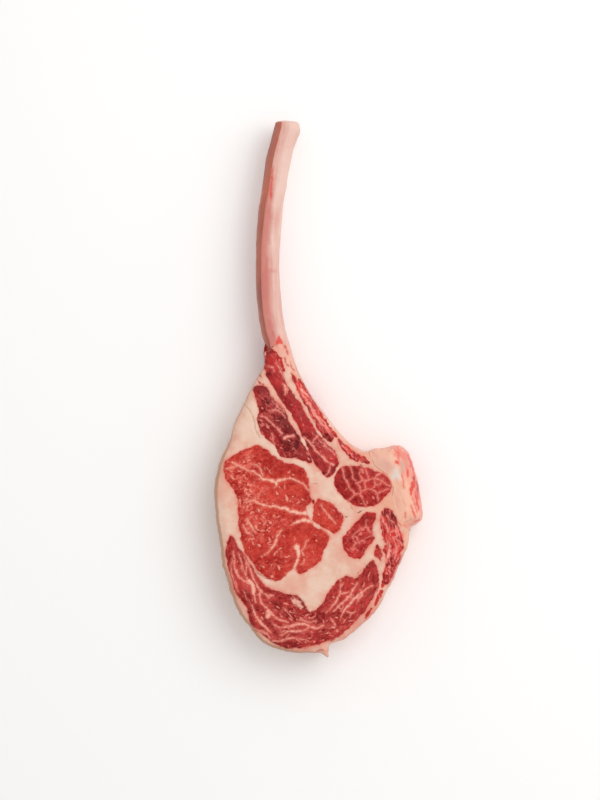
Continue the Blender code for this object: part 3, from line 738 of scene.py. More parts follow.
RIB_STAINS = [
    ((1.1, 2.1, 1.1), (-36.5, 178.5), (-37.5, 167), (-37.5, 153), (-38, 146.5), (-39, 142.5)),
    ((1.1, 2.2, 1.1), (-37.5, 141.5), (-38, 133), (-39, 125), (-39, 117)),
    ((0.8, 1.4, 0.8), (-43.5, 95), (-44, 85), (-43, 73)),
    ((0.6, 1.3, 0.6), (-41, 105), (-42, 83), (-41, 61.5)),
    ((0.6, 1, 0.6), (-40, 55), (-39.5, 51), (-39, 48)), ((1, 1.4, 1), (-36.5, 46), (-36, 42.5)),
    ((0.6, 1, 0.6), (-39, 95.5), (-34.5, 95)),
]
CHINE_STAINS = [
    ((0.6, 1.1, 0.6), (77, -70.5), (77.5, -72.5)), ((0.5, 0.8, 0.5), (79, -74.5), (80, -78.5), (80, -82)),
]
print(len(CHINE_STREAKS + RIB_STREAKS), "streaks and", len(RIB_STAINS + CHINE_STAINS), "stains")

# %% [markdown]
# A drawn line is too smooth to be a seam, so noise bends it and swells it.

# %% From lines to distances
PLAN_MIDDLE = (0.45, -0.25)  # where the frame's origin lies in the drawing, in millimetres
SEAM_STEP = 0.0003
SEAM_BEND = ((0.006, 0.0008), (0.0022, 0.0006))
SEAM_SWELL, SWELL_SIZE, SWELL_SEED = 0.9, 0.0024, 80.2  # how a seam's width varies
BEND_SEEDS, NEXT_SEED = (0.3, 50.7), 3.1  # for x and y, and for each further line
FLECK_END = 0.6  # of its width, at a fleck's two ends
FAR_AWAY = 0.05


def on_frame(points):
    """Turns places in the drawing into places in the frame."""
    return (np.array(points, float) - PLAN_MIDDLE) * MM


def lines_field(lines, flecks=(), wander=1):
    """A function that says how far points lie outside the nearest of the lines."""
    lines = list(lines)
    for x, y, dx, dy, width in flecks:
        lines.append(((width * FLECK_END, width, width * FLECK_END), (x, y), (x + dx, y + dy)))
    if not lines:
        return lambda points: np.full(len(points), FAR_AWAY)
    samples, widths = [], []
    for number, (across, *points) in enumerate(lines):
        path = spline(on_frame(points), SEAM_STEP, False)
        bend = [wander * rough(path, SEAM_BEND, number * NEXT_SEED + seed) for seed in BEND_SEEDS]
        width = np.interp(np.linspace(0, 1, len(path)), (0, 0.5, 1), across) * MM
        samples.append(path + np.column_stack(bend))
        widths.append(width * (1 + SEAM_SWELL * noise_at(path, SWELL_SIZE, number + SWELL_SEED)) / 2)
    return Nearest(np.vstack(samples), np.concatenate(widths))


# %% [markdown]
# ## Spots
# Dense marbling and darker meat have no line. They could be painted with a brush, but a
# script can't show that. A spot is its centre's x and y, a radius and an amount, and
# spots add up like drops of ink.

# %% Spots on the meat
# How dense the marbling is, and how bright the meat
MARBLED_BASE = 0.1
MARBLED = {
    "eye_muscle": [
        (-62, -68, 15, 0.55), (-52, -110, 17, 0.5), (-50, -86, 12, 0.5), (-60, -92, 10, 0.4),
        (-20, -92, 9, 0.3), (-28, -78, 7, 0.15), (-36, -145, 10, 0.35), (-28, -133, 8, 0.3),
        (-8, -135, 9, 0.25), (-34, -106, 8, 0.3), (-54, -54, 5, 0.65), (-62, -62, 5, 0.35)
    ],
    "cap_muscle": [
        (-38, -182, 12, 0.3), (-20, -182, 12, 0.25), (-55, -160, 15, 0.25), (-15, -195, 16, 0.4),
        (15, -192, 15, 0.4), (-62, -142, 10, 0.2), (-38, -197, 13, 0.25), (28, -178, 13, 0.25),
        (38, -160, 12, 0.15)
    ],
    "outer_rib_muscle": [(-40, -14, 12, 0.45), (-42, -30, 9, 0.35), (-22, -48, 9, 0.4), (-36, -42, 7, 0.3)],
    "long_rib_muscle": [(-20, -20, 8, 0.1), (5, -46, 9, 0.5), (-30, 2, 6, 0.2), (-8, -34, 7, 0.15)],
    "round_muscle": [(44, -80, 12, 0.25)],
    "oval_muscle": [(33, -118, 11, 0.45), (28, -130, 6, 0.35)],
    "side_muscle": [(60, -125, 14, 0.55), (56, -145, 10, 0.45)],
    "long_strip_front": [(-10, -5, 9, 0.5), (0, -22, 12, 0.3)],
    "short_strip_front": [(22, -48, 8, 0.2)],
    "wedge_muscle": [(5, -100, 10, 0.15)],
    "bead_muscle": [(48, -131, 6, 0.25)],
}
SHADE = {
    "eye_muscle": [
        (-40, -85, 16, 0.6), (-20, -85, 14, 0.3), (-10, -125, 16, 0.3), (-64, -84, 7, -0.7),
        (-38, -57, 8, -0.6), (-25, -66, 12, -0.4), (-40, -143, 10, -0.6), (-13, -64, 8, -0.3),
        (-9, -85, 6, -0.8), (-66, -60, 6, 0.6)
    ],
    "cap_muscle": [
        (-22, -180, 9, -0.3), (22, -160, 12, 0.6), (20, -175, 12, 0.2), (-66, -150, 12, 0.4),
        (0, -184, 10, -0.6), (-20, -202, 14, -0.5), (46, -158, 6, -0.8), (40, -143, 8, -0.2),
        (-32, -170, 9, -0.6), (-12, -192, 9, 0.6), (-60, -170, 8, -0.5)
    ],
    "outer_rib_muscle": [
        (-28, -30, 20, -0.6), (-20, -47, 10, -0.55), (-43, -2, 8, -0.4), (-36, -30, 10, 0.5),
        (-37, -43, 5, 0.9), (-30, -20, 10, -0.4)
    ],
    "long_rib_muscle": [
        # The dark spot at (-40, 10) is painted shade under the flap
        (-44, 28, 2.5, -0.5), (-38, 26, 4, 0.7), (-40, 10, 3.5, -0.4), (-36, 21, 6, 1.3), (-33, 6, 4, 0.6),
        (-35, -3, 3, -0.5), (-8, -44, 7, -0.9), (-14, -22, 10, 0.5), (-6, -32, 8, 0.3), (6, -52, 7, 0.4),
        (12, -56, 5, 0.9), (-30, 8, 8, 0.2), (-26, -2, 6, -0.4)
    ],
    "round_muscle": [(20, -74, 7, -0.9), (30, -70, 6, -0.7), (45, -78, 12, 0.2), (33, -88, 18, -0.3)],
    "wedge_muscle": [(6, -103, 8, 0.8), (13, -97, 6, -0.4)],
    "oval_muscle": [(36, -104, 8, -0.3), (28, -132, 6, 0.7)],
    "side_muscle": [
        (57, -101, 5, -0.5), (61, -109, 4, -0.5), (53, -96, 3, -0.4), (61, -118, 6, 1.4),
        (52, -107, 4, 0.8), (64, -131, 5, 1.3), (60, -138, 3, -0.7), (54, -148, 6, 0.2)
    ],
    "long_strip_front": [(-14, 3, 9, 1), (2, -24, 10, 0.5), (10, -38, 5, -0.5)],
    "short_strip_front": [(24, -48, 9, 0.5)],
    "bead_muscle": [(48, -131, 8, -0.1)],
    "fat": [
        (-42, 28, 8, -0.4), (-3, -20, 16, 0.8), (38, -58, 4, -0.6), (48, -170, 12, 0.9), (-31, 39, 4, 1.6),
        (-44, 33, 5, -1.2)
    ],
}
# Where the meat is cream, and where pale streaks run along its fibres
CREAM = {
    "cap_muscle": [(-19.5, -169, 2.8, 0.8), (-16, -171.5, 2.8, 0.8), (-13.5, -174.5, 2.2, 0.7)],
}
STREAKY = {
    "side_muscle": [(60, -120, 30, 1.3)],
    "long_strip_front": [(-2, -18, 30, 1.1)],
    "short_strip_front": [(24, -50, 16, 0.8)],
    "bead_muscle": [(42, -58, 8, 0.3)],
    # The streaks at (-38, 22) stand partly for the meat's fibres and partly for wet sheen: painted sheen
    "long_rib_muscle": [(-38, 22, 12, 0.5), (2, -50, 9, 0.4)],
    "outer_rib_muscle": [(-42, -5, 5, 0.2)],
    "cap_muscle": [(50, -158, 8, 0.5)],
}

# %% Spots on the fat and the bones
# Where blood has soaked into the fat, and where it is yellower
BLUSH = [
    (-70, -50, 12, 0.35), (-66, -60, 9, 0.4), (-6, -76, 7, 0.4), (-4, -91, 5, 0.8), (30, -205, 28, 0.7),
    (48, -185, 22, 0.8), (62, -150, 13, 0.5), (68, -130, 12, 0.35), (10, -120, 8, 0.3), (-26, 15, 8, 0.35),
    (-33, 33, 5, 0.5), (36, -40, 16, 0.5), (4, -10, 10, 0.6), (-72, -160, 16, 0.7), (-60, -190, 16, 0.5),
    (24, -108, 8, 0.3), (-20, -209, 14, 0.6), (-3, -81, 5, 0.6), (13, -35, 5, 0.6), (-62, -15, 14, -0.5),
    (-72, -100, 8, -0.4), (-49, 9, 5, 0.6), (-45, 2, 3, 0.4)
]
PEACH = [
    (52, -70, 14, 0.8), (56, -92, 12, 0.9), (34, -48, 14, 0.6), (70, -118, 12, 0.7), (40, -98, 10, 0.5),
    (-12, 6, 12, 0.4)
]
# Where the bones are pinker, stained, bruised or covered in gristle
RIB_FILM = [
    (-38, 95, 26, 0.25), (-37, 60, 26, 0.2), (-24, 205, 12, 0.2), (-39, 136, 9, 0.3), (-31, 45, 5, -0.15)
]
RIB_STAINED = [(-43, 38, 5, 0.35), (-46, 158, 10, 0.15), (-36, 196, 10, 0.12), (-31, 212, 4, 0.2)]
CHINE_FILM = [
    (70, -55, 8, 0.25), (63, -52, 3, 0.3), (54, -56, 6, -0.25), (80, -84, 7, 0.3), (72, -84, 6, -0.5),
    (72, -98, 7, -0.45)
]
CHINE_GRISTLE = [
    (62, -67.5, 2.8, 0.9), (59.8, -70.8, 2.5, 0.7), (65, -70.8, 2.2, 0.8), (61.6, -64.6, 1.6, 0.7)
]
CHINE_BRUISE = [
    (68, -60, 3.4, 0.8), (67, -66, 2.4, 0.8), (50, -58, 9, 0.35), (56, -62, 6, 0.3), (61, -88, 7, 0.2)
]


def spots_at(spots, points):
    """What the spots add up to at each point."""
    total = np.zeros(len(points))
    for *centre, radius, amount in spots:
        away = np.hypot(*(points[:, :2] - on_frame(centre)).T)
        total += amount * np.exp(-(away / (radius * MM)) ** 2)
    return total


print(len(BLUSH + PEACH), "spots on the fat")

# %% [markdown]
# ## Shader groups
# A shader is a tree of nodes, and wiring one in a script takes a few lines a node. A
# small class does that here, so a pattern reads like a formula. Four effects are shared
# by the materials, so each is a node group with named sockets.

# %% Helpers for shader nodes
class Wiring:
    """Adds nodes to a tree and links them."""

    def __init__(self, tree):
        self.tree = tree

    def set(self, socket, value):
        if isinstance(value, bpy.types.NodeSocket):
            self.tree.links.new(value, socket)
        else:
            socket.default_value = value

    def node(self, kind, sockets=None, **settings):
        made = self.tree.nodes.new(kind)
        for key, value in settings.items():
            setattr(made, key, value)
        for key, value in (sockets or {}).items():
            self.set(made.inputs[key], value)
        return made

    def math(self, operation, a, b=0, clamp=False):
        sockets = {0: a, 1: b}
        return self.node("ShaderNodeMath", sockets, operation=operation, use_clamp=clamp).outputs[0]

    def add(self, total, *others):
        for other in others:
            total = self.math("ADD", total, other)
        return total

    def times(self, a, b):
        return self.math("MULTIPLY", a, b)

    def most(self, a, b):
        return self.math("MAXIMUM", a, b)

    def clamped(self, value):
        return self.math("ADD", value, 0, clamp=True)

    def between(self, value, low, high, to_low=0, to_high=1):
        """Eases value from to_low at low to to_high at high."""
        sockets = {"Value": value, "From Min": low, "From Max": high, "To Min": to_low, "To Max": to_high}
        return self.node("ShaderNodeMapRange", sockets, interpolation_type="SMOOTHSTEP").outputs[0]

    def mix(self, share, a, b):
        return self.node("ShaderNodeMix", {0: share, 6: a, 7: b}, data_type="RGBA").outputs[2]

    def vectors(self, operation, *vectors):
        return self.node("ShaderNodeVectorMath", dict(enumerate(vectors)), operation=operation).outputs[0]

    def scaled(self, vector, x, y, z):
        factors = self.node("ShaderNodeCombineXYZ", {"X": x, "Y": y, "Z": z}).outputs[0]
        return self.vectors("MULTIPLY", vector, factors)

    def noise(self, vector, scale, detail=2, roughness=0.5, distortion=0):
        """Noise less its middle value, so mostly between -0.3 and 0.3."""
        made = self.node("ShaderNodeTexNoise", {
            "Vector": vector, "Scale": scale, "Detail": detail, "Roughness": roughness,
            "Distortion": distortion})
        return self.add(made.outputs["Fac"], -0.5)

    def streaks(self, grain, along, across, detail=2, roughness=0.5, distortion=0):
        """Noise drawn out along the grain; along and across are its scales."""
        return self.noise(self.scaled(grain, along, across, across), 1, detail, roughness, distortion)

    def shift(self, vector, scale, detail):
        """Three noises as a vector, each less its middle value."""
        made = self.node("ShaderNodeTexNoise", {"Vector": vector, "Scale": scale, "Detail": detail})
        return self.vectors("SUBTRACT", made.outputs["Color"], (0.5, 0.5, 0.5))


def new_group(name, inputs, outputs):
    """A node group, its wiring, inputs and outputs; a default of None makes a vector."""
    group = bpy.data.node_groups.new(name, "ShaderNodeTree")
    for label, default in inputs.items():
        kind = "NodeSocketVector" if default is None else "NodeSocketFloat"
        socket = group.interface.new_socket(label, in_out="INPUT", socket_type=kind)
        if default is not None:
            socket.default_value = default
    for label in outputs:
        group.interface.new_socket(label, in_out="OUTPUT", socket_type="NodeSocketFloat")
    print(f"{name}: from {', '.join(inputs)} to {', '.join(outputs)}")
    wire = Wiring(group)
    return group, wire, wire.node("NodeGroupInput").outputs, wire.node("NodeGroupOutput").inputs


# %% [markdown]
# *Frayed Mask* turns a stored distance into a soft mask with a ragged edge. Noise is
# added to the distance, not to the mask, so that the edge wanders but stays as soft. The
# core is the cream middle of a wide seam, and the halo the paler meat round it.

# %% Frayed Mask
FRAY_GAIN = 2.6  # lifts noise to about 1
CORE_FROM, CORE_TO = -0.0011, -0.0004  # how far outside the line the core fades
HALO_WIDTH = 0.0018

mask_group, wire, given, result = new_group("Frayed Mask", {
    "Place": None, "Distance": 1, "Softness": 0.0003, "Fray": 0.0006, "Fray Scale": 800},
    ["Mask", "Core", "Halo"])
wobble = wire.noise(given["Place"], given["Fray Scale"], 3, 0.65)
distance = wire.add(given["Distance"], wire.times(wobble, wire.times(given["Fray"], FRAY_GAIN)))
softness = given["Softness"]
wire.set(result["Mask"], wire.between(distance, wire.times(softness, -1), softness, 1, 0))
wire.set(result["Core"], wire.between(distance, CORE_FROM, CORE_TO, 1, 0))
wire.set(result["Halo"], wire.between(distance, 0, HALO_WIDTH, 1, 0))

# %% [markdown]
# *Fat Flecks* is the marbling that is too fine to draw. Specks are the middles of
# Voronoi cells: each cell draws a random number, and only a large one leaves a speck.
# Threads are where smooth noise crosses its middle value, broken up by a second noise.
# Under both lies a faint curl of paler red.

# %% Fat Flecks
FLECK_BEND = 1.5  # how much noise bends the grain
SPECKS = ((0.9, 0.36, 1), (1.9, 0.34, 0.45))  # fineness, largest size and strength of each kind
CHOICE_GAIN = 2.2  # how fast a speck grows with the number drawn
SPECK_EDGE = (-0.12, 0.1)
FULL_SPECK = 0.35  # a speck chosen so firmly has its full strength
THREAD_EDGE, GAP_EDGE, CURL_EDGE = (0.006, 0.024), (0.12, 0.2), (-0.06, 0.2)
THREADS_BY_MARBLING = 0.2  # denser marbling leaves fewer gaps in the threads,
CURL_BY_MARBLING, LEAST_CURL = 1.4, 0.1  # and shows more of the curl

fleck_group, wire, given, result = new_group("Fat Flecks", {
    "Place": None, "Grain": None, "Marbling": 0.5, "Scale": 330, "Stretch": 1.5}, ["Flecks", "Curl"])
marbling, scale = given["Marbling"], given["Scale"]
grain = wire.scaled(given["Grain"], wire.math("DIVIDE", scale, given["Stretch"]), scale, scale)
bent = wire.vectors("MULTIPLY_ADD", wire.shift(grain, 1.3, 2), (FLECK_BEND,) * 3, grain)
specks = 0
for fineness, largest, strength in SPECKS:
    cell = wire.node("ShaderNodeTexVoronoi", {"Vector": bent, "Scale": fineness})
    draw = wire.node("ShaderNodeSeparateColor", {0: cell.outputs["Color"]}).outputs[0]
    chosen = wire.math("MULTIPLY", wire.add(draw, marbling, -1), CHOICE_GAIN, clamp=True)
    beyond = wire.add(cell.outputs["Distance"], wire.times(chosen, -largest))
    speck = wire.between(beyond, *SPECK_EDGE, 1, 0)
    specks = wire.most(specks, wire.times(speck, wire.between(chosen, 0, FULL_SPECK, 0, strength)))
thread = wire.between(wire.math("ABSOLUTE", wire.noise(bent, 0.75, 2, 0.5)), *THREAD_EDGE, 1, 0)
broken = wire.add(wire.noise(given["Place"], 330, 2, 0.6), wire.times(marbling, THREADS_BY_MARBLING))
wire.set(result["Flecks"], wire.most(specks, wire.times(thread, wire.between(broken, *GAP_EDGE))))
curl = wire.between(wire.noise(bent, 0.85, 3, 0.6, 0.5), *CURL_EDGE)
curl_share = wire.add(wire.times(marbling, CURL_BY_MARBLING), LEAST_CURL)
wire.set(result["Curl"], wire.math("MULTIPLY", curl, curl_share, clamp=True))

# %% [markdown]
# *Meat Tone* is the uneven colour of the meat itself, from three noises: broad clouds,
# bundles of fibres, and single fibres, the last two drawn out along the grain.

# %% Meat Tone
FIBRE_SCALE, BUNDLE_SCALE, CLOUD_SCALE = 1100, 420, 85
FIBRE_SHARE, BUNDLE_SHARE, CLOUD_SHARE = 1.2, 2.2, 1.5

tone_group, wire, given, result = new_group("Meat Tone", {
    "Place": None, "Grain": None, "Stretch": 3}, ["Tone", "Fibre"])
grain, stretch = given["Grain"], given["Stretch"]
fibre = wire.streaks(grain, wire.math("DIVIDE", FIBRE_SCALE, stretch), FIBRE_SCALE, 2, 0.6, 0.4)
bundle = wire.streaks(grain, wire.math("DIVIDE", BUNDLE_SCALE, stretch), BUNDLE_SCALE, 2, 0.6)
cloud = wire.noise(given["Place"], CLOUD_SCALE)
fibres = wire.add(wire.times(bundle, BUNDLE_SHARE), wire.times(fibre, FIBRE_SHARE))
wire.set(result["Tone"], wire.add(wire.times(cloud, CLOUD_SHARE), fibres))
wire.set(result["Fibre"], fibre)

# %% [markdown]
# *Wet Relief* gives the fine pores and the uneven gloss of a damp surface.

# %% Wet Relief
PORE_SCALE, SWELL_SCALE = 1300, 260
SWELL_HEIGHT, SWELL_GLOSS = 1.2, 0.3  # its share in the height and in the gloss

relief_group, wire, given, result = new_group("Wet Relief", {
    "Place": None, "Height": 0, "Roughness": 0.35, "Grit": 0.3}, ["Height", "Roughness"])
pores = wire.noise(given["Place"], PORE_SCALE, 3, 0.6)
swell = wire.noise(given["Place"], SWELL_SCALE)
bumps = wire.add(wire.times(pores, given["Grit"]), wire.times(swell, SWELL_HEIGHT))
wire.set(result["Height"], wire.add(given["Height"], bumps))
wire.set(result["Roughness"], wire.add(given["Roughness"], wire.times(swell, SWELL_GLOSS)))

# %% [markdown]
# ## Materials
# A material starts with one colour, and every further one is laid over what is there
# through a mask, as a painter would glaze it. Colours are written as they look on screen
# and turned into the linear values that the shader wants.

# %% Helpers for materials
BUMP_DEPTH = 0.00025  # how deep a height of 1 is
# For each mark: how soft its edge is, how far it frays, and how fine the fraying is
MARK_EDGES = {
    "seam": (0.0004, 0.0007, 800), "fleck": (0.0004, 0.0005, 1100), "rim": (0.0005, 0.0014, 420),
    "cut": (0.0002, 0.0001, 800), "scrap": (0.0004, 0.0006, 500), "to_meat": (0.0005, 0.0012, 380),
    "red_line": (0.0005, 0.0004, 800), "blood": (0.0006, 0.0004, 800),
}


def colour(red, green, blue):
    """A screen colour, 0 to 255, as linear light."""
    def linear(value):
        value /= 255
        return value / 12.92 if value <= 0.04045 else ((value + 0.055) / 1.055) ** 2.4
    return (linear(red), linear(green), linear(blue), 1)


class Finish(Wiring):
    """A material that is being made, with the colour laid down so far in base."""

    def __init__(self, name, specular=0.14):
        self.material = bpy.data.materials.new(name)
        self.material.use_nodes = True
        super().__init__(self.material.node_tree)
        self.shader = self.tree.nodes["Principled BSDF"].inputs
        self.shader["Specular IOR Level"].default_value = specular
        self.place = self.node("ShaderNodeTexCoord").outputs["Object"]
        self.base = None

    def painted(self, name, output="Fac"):
        """What was painted on the vertices under this name."""
        return self.node("ShaderNodeAttribute", attribute_name=name).outputs[output]

    def group(self, group, **sockets):
        """Places a group; the sockets are named with underscores for spaces."""
        made = self.node("ShaderNodeGroup", node_tree=group)
        for key, value in sockets.items():
            self.set(made.inputs[key.replace("_", " ")], value)
        return made.outputs

    def mark(self, name):
        """The Frayed Mask of the lines whose distance was painted under this name."""
        softness, fray, fineness = MARK_EDGES[name]
        return self.group(mask_group, Place=self.place, Distance=self.painted(name),
                          Softness=softness, Fray=fray, Fray_Scale=fineness)

    def over(self, top, mask, strength=1):
        """Lays a colour over the base, where and as strongly as the mask says."""
        share = mask if strength == 1 else self.times(mask, strength)
        self.base = self.mix(share, self.base, top)

    def end(self, height, roughness, grit=0.3, depth=BUMP_DEPTH):
        """Wires the colour, the gloss and the fine bumps into the shader."""
        relief = self.group(relief_group, Place=self.place, Height=height, Roughness=roughness, Grit=grit)
        bump = self.node("ShaderNodeBump", {"Height": relief["Height"], "Distance": depth, "Strength": 1})
        self.set(self.shader["Base Color"], self.base)
        self.set(self.shader["Roughness"], relief["Roughness"])
        self.set(self.shader["Normal"], bump.outputs[0])
        return self.material


# %% [markdown]
# ## Meat
# Every muscle has worked in its own way, so its red, its grain and its marbling differ.
# One function makes all the meats from a table of looks, which keeps them alike where
# they should be. It mixes a deep and a bright red, and lays the pinks of fat over them.

# %% Looks of the meats
BLOOD_RED = colour(188, 48, 44)
# The dark brown of the knife cuts is painted shade in the slits
CUT_SHADE_BROWN = colour(104, 40, 34)
# The tone swings between deep and bright, by contrast and about middle. Scale is that of
# the fine flecks, and stretch is along the grain
LOOK = ("deep", "bright", "curl", "fleck", "seam", "core", "contrast", "middle", "scale", "stretch")
MEATS = {
    "eye_meat": (
        (158, 22, 18), (210, 66, 52), (228, 106, 92), (238, 142, 124), (236, 154, 134), (238, 188, 166),
        0.85, 0.47, 300, 1.25),
    "cap_meat": (
        (116, 8, 12), (200, 62, 56), (208, 92, 84), (232, 124, 110), (234, 142, 126), (236, 176, 158),
        0.8, 0.48, 300, 2),
    "rib_meat": (
        (96, 6, 12), (186, 44, 44), (198, 84, 78), (226, 120, 110), (230, 134, 120), (236, 172, 156),
        0.68, 0.46, 330, 1.6),
    "side_meat": (
        (122, 6, 10), (202, 52, 48), (212, 84, 76), (232, 120, 108), (228, 124, 112), (232, 158, 142),
        0.8, 0.48, 330, 1.3),
    "torn_meat": (
        (104, 2, 8), (206, 46, 44), (222, 88, 82), (240, 132, 120), (238, 140, 128), (242, 178, 162),
        1.1, 0.36, 330, 1.4),
}
for name, row in MEATS.items():
    row = [colour(*value) if isinstance(value, tuple) else value for value in row]
    MEATS[name] = dict(zip(LOOK, row))
TORN = ("side_muscle", "long_strip_front", "long_strip_back", "short_strip_front", "short_strip_back")

# %% Meat
LIGHT_TONE = 0.45  # how much one unit of "shade" changes the tone
STREAK_TONE = 4  # and how much streaks do where meat is streaky
FRINGE_EDGE = (0.05, 0.16)
FAT_STRENGTH = 0.85  # how much specks, curls and fringes hide the red
CREAM_EDGE, CREAM_MOST, CREAM_BREAK = (0.25, 0.85), 0.9, 1.6
MEAT_GLOSS, FAT_GLOSS = 0.34, 0.05  # roughness of meat, and what fat adds to it
FAT_HEIGHT, FIBRE_HEIGHT = 0.35, 0.8


def meat_colour(finish, look, grain, marbled, shade, streaky):
    """The colour of meat, a mask of the fat in it, and the height of its fibres."""
    tone = finish.group(tone_group, Place=finish.place, Grain=grain, Stretch=look["stretch"])
    fat = finish.group(fleck_group, Place=finish.place, Grain=grain, Marbling=marbled,
                       Scale=look["scale"], Stretch=look["stretch"])
    streaks = finish.times(finish.streaks(grain, 110, 620, 3, 0.6, 0.5), STREAK_TONE)
    share = finish.add(finish.times(tone["Tone"], look["contrast"]), finish.times(shade, LIGHT_TONE),
                       look["middle"], finish.times(streaks, streaky))
    flesh = finish.mix(finish.clamped(share), look["deep"], look["bright"])
    flesh = finish.mix(finish.times(fat["Curl"], FAT_STRENGTH), flesh, look["curl"])
    fringe = finish.between(finish.streaks(grain, 100, 700, 2, 0.6, 0.8), *FRINGE_EDGE)
    pale = finish.times(finish.most(fat["Flecks"], finish.times(fringe, streaky)), FAT_STRENGTH)
    return finish.mix(pale, flesh, look["fleck"]), pale, tone["Fibre"]


def meat_material(name, look):
    meat = Finish(name)
    layers = (meat.painted(layer) for layer in ("marbled", "shade", "streaky"))
    meat.base, pale, fibre = meat_colour(meat, look, meat.painted("grain", "Vector"), *layers)
    seam, fleck, rim, cut = (meat.mark(mark) for mark in ("seam", "fleck", "rim", "cut"))
    patchy = meat.add(meat.times(meat.noise(meat.place, 240, 2, 0.6), 2.5), 0.55)
    meat.over(look["fleck"], seam["Halo"], 0.30)
    meat.over(look["fleck"], meat.clamped(meat.times(rim["Mask"], patchy)))
    broken = meat.times(meat.noise(meat.place, 480, 3, 0.6), CREAM_BREAK)
    cream = meat.add(meat.painted("cream"), broken)
    meat.over(look["core"], meat.between(cream, *CREAM_EDGE, 0, CREAM_MOST))
    meat.over(look["seam"], fleck["Mask"], 0.85)
    meat.over(look["seam"], seam["Mask"], 0.95)
    meat.over(look["core"], seam["Core"])
    # Painted shade along the knife cuts
    meat.over(CUT_SHADE_BROWN, cut["Mask"], 0.75)
    pale = meat.most(meat.most(seam["Mask"], fleck["Mask"]), pale)
    height = meat.add(meat.times(pale, FAT_HEIGHT), meat.times(fibre, FIBRE_HEIGHT))
    return meat.end(height, meat.add(meat.times(pale, FAT_GLOSS), MEAT_GLOSS))


meats = {name: meat_material(name, look) for name, look in MEATS.items()}
print("meat materials:", ", ".join(meats))

# %% [markdown]
# ## Fat
# Raw fat is cream in the middle of a seam and pinker beside the meat, where blood has
# soaked in. On the outside of the steak it is drier and turns tan. On the left side, away
# from the lamp, more tan is laid on as painted shade. One colour would look like plastic,
# so each of these has a mask, broken up by noise.

# %% Fat
# The tan is the colour of the dry outside, and it is also used as painted shade on the left flank and in
# the folds
FAT_CREAM, FAT_WARM, FAT_PEACH = colour(232, 198, 178), colour(227, 175, 154), colour(232, 168, 142)
FAT_BLUSH, TAN_AND_SHADE, NECK_TONE = colour(224, 138, 120), colour(188, 142, 116), colour(234, 176, 158)
CREASE_EDGE, CREASE_MOST = (-0.0002, 0.0007), 0.6
VEIN_WIDTH, VEIN_MOST = 0.012, 0.15
SCRAP_MARBLING = 0.45


def fat_material():
    fat = Finish("fat")
    place = fat.place
    broad = fat.noise(place, 55, 3, 0.6)
    fine = fat.noise(place, 420, 3, 0.6)
    fat.base = fat.mix(fat.between(broad, -0.12, 0.14), FAT_CREAM, FAT_WARM)
    fat.over(FAT_PEACH, fat.clamped(fat.painted("peach")))
    fat.over(NECK_TONE, fat.painted("neck"))
    beside = fat.between(fat.add(fat.painted("beside_meat"), fat.times(broad, 1.2)), 0.1, 1.25)
    soaked = fat.add(beside, fat.times(fat.painted("blush"), 0.75))
    uneven = fat.add(fat.times(fine, 0.35), fat.times(fat.noise(place, 130), 0.8))
    fat.over(FAT_BLUSH, fat.clamped(fat.add(soaked, uneven)))
    vein = fat.math("ABSOLUTE", fat.noise(fat.scaled(place, 1, 0.45, 1), 150, 3, 0.6, 1))
    fat.over(FAT_BLUSH, fat.between(vein, 0, VEIN_WIDTH, VEIN_MOST, 0))
    # Tan on the flank: the dry outside, plus painted shade that is stronger on the left, away from the lamp
    flank = fat.add(fat.painted("flank"), fat.times(broad, 0.5))
    fat.over(TAN_AND_SHADE, fat.between(flank, 0.1, 1, 0, 0.9))
    scrap, touch, red, cut = (fat.mark(mark) for mark in ("scrap", "to_meat", "red_line", "cut"))
    flesh = meat_colour(fat, MEATS["side_meat"], place, SCRAP_MARBLING, fat.painted("shade"), 0)[0]
    fat.over(FAT_BLUSH, scrap["Halo"], 0.35)
    fat.over(BLOOD_RED, touch["Mask"], 0.65)
    fat.over(flesh, scrap["Mask"])
    fat.over(FAT_BLUSH, red["Halo"], 0.3)
    fat.over(BLOOD_RED, red["Mask"], 0.7)
    # Painted shade along the knife cuts
    fat.over(CUT_SHADE_BROWN, cut["Mask"], 0.75)
    # Painted shade: tan darkens the folds
    fat.over(TAN_AND_SHADE, fat.between(fat.painted("crease"), *CREASE_EDGE, CREASE_MOST, 0))
    height = fat.add(fat.times(fine, 0.4), fat.times(cut["Mask"], -1))
    return fat.end(height, fat.add(fat.times(fine, 0.15), 0.42), grit=0.12)


fat_look = fat_material()
print("fat material:", len(fat_look.node_tree.nodes), "nodes")

# %% [markdown]
# ## Bone
# Bone that has been scraped bare is cream, with a pink film left in the hollows, streaks
# of blood and duller stains. On the rib's steep side the membrane is whole, and brown.
# Noise on plain coordinates would give spots. Here it follows the bone, because each
# vertex stores how far along it and how far round it lies.

# %% Bone
BONE_CREAM, BONE_PINK, STAIN = colour(227, 192, 179), colour(203, 128, 117), colour(186, 72, 68)
CHINE_CREAM, CHINE_PINK, CHINE_STAIN = colour(236, 182, 157), colour(226, 128, 116), colour(150, 44, 36)
MEMBRANE, MEMBRANE_DEEP = colour(192, 110, 86), colour(156, 88, 76)
GRISTLE, BRUISE = colour(222, 207, 198), colour(206, 158, 146)
BLOOD_HALO, FRESH_BLOOD = colour(232, 126, 114), colour(216, 60, 50)


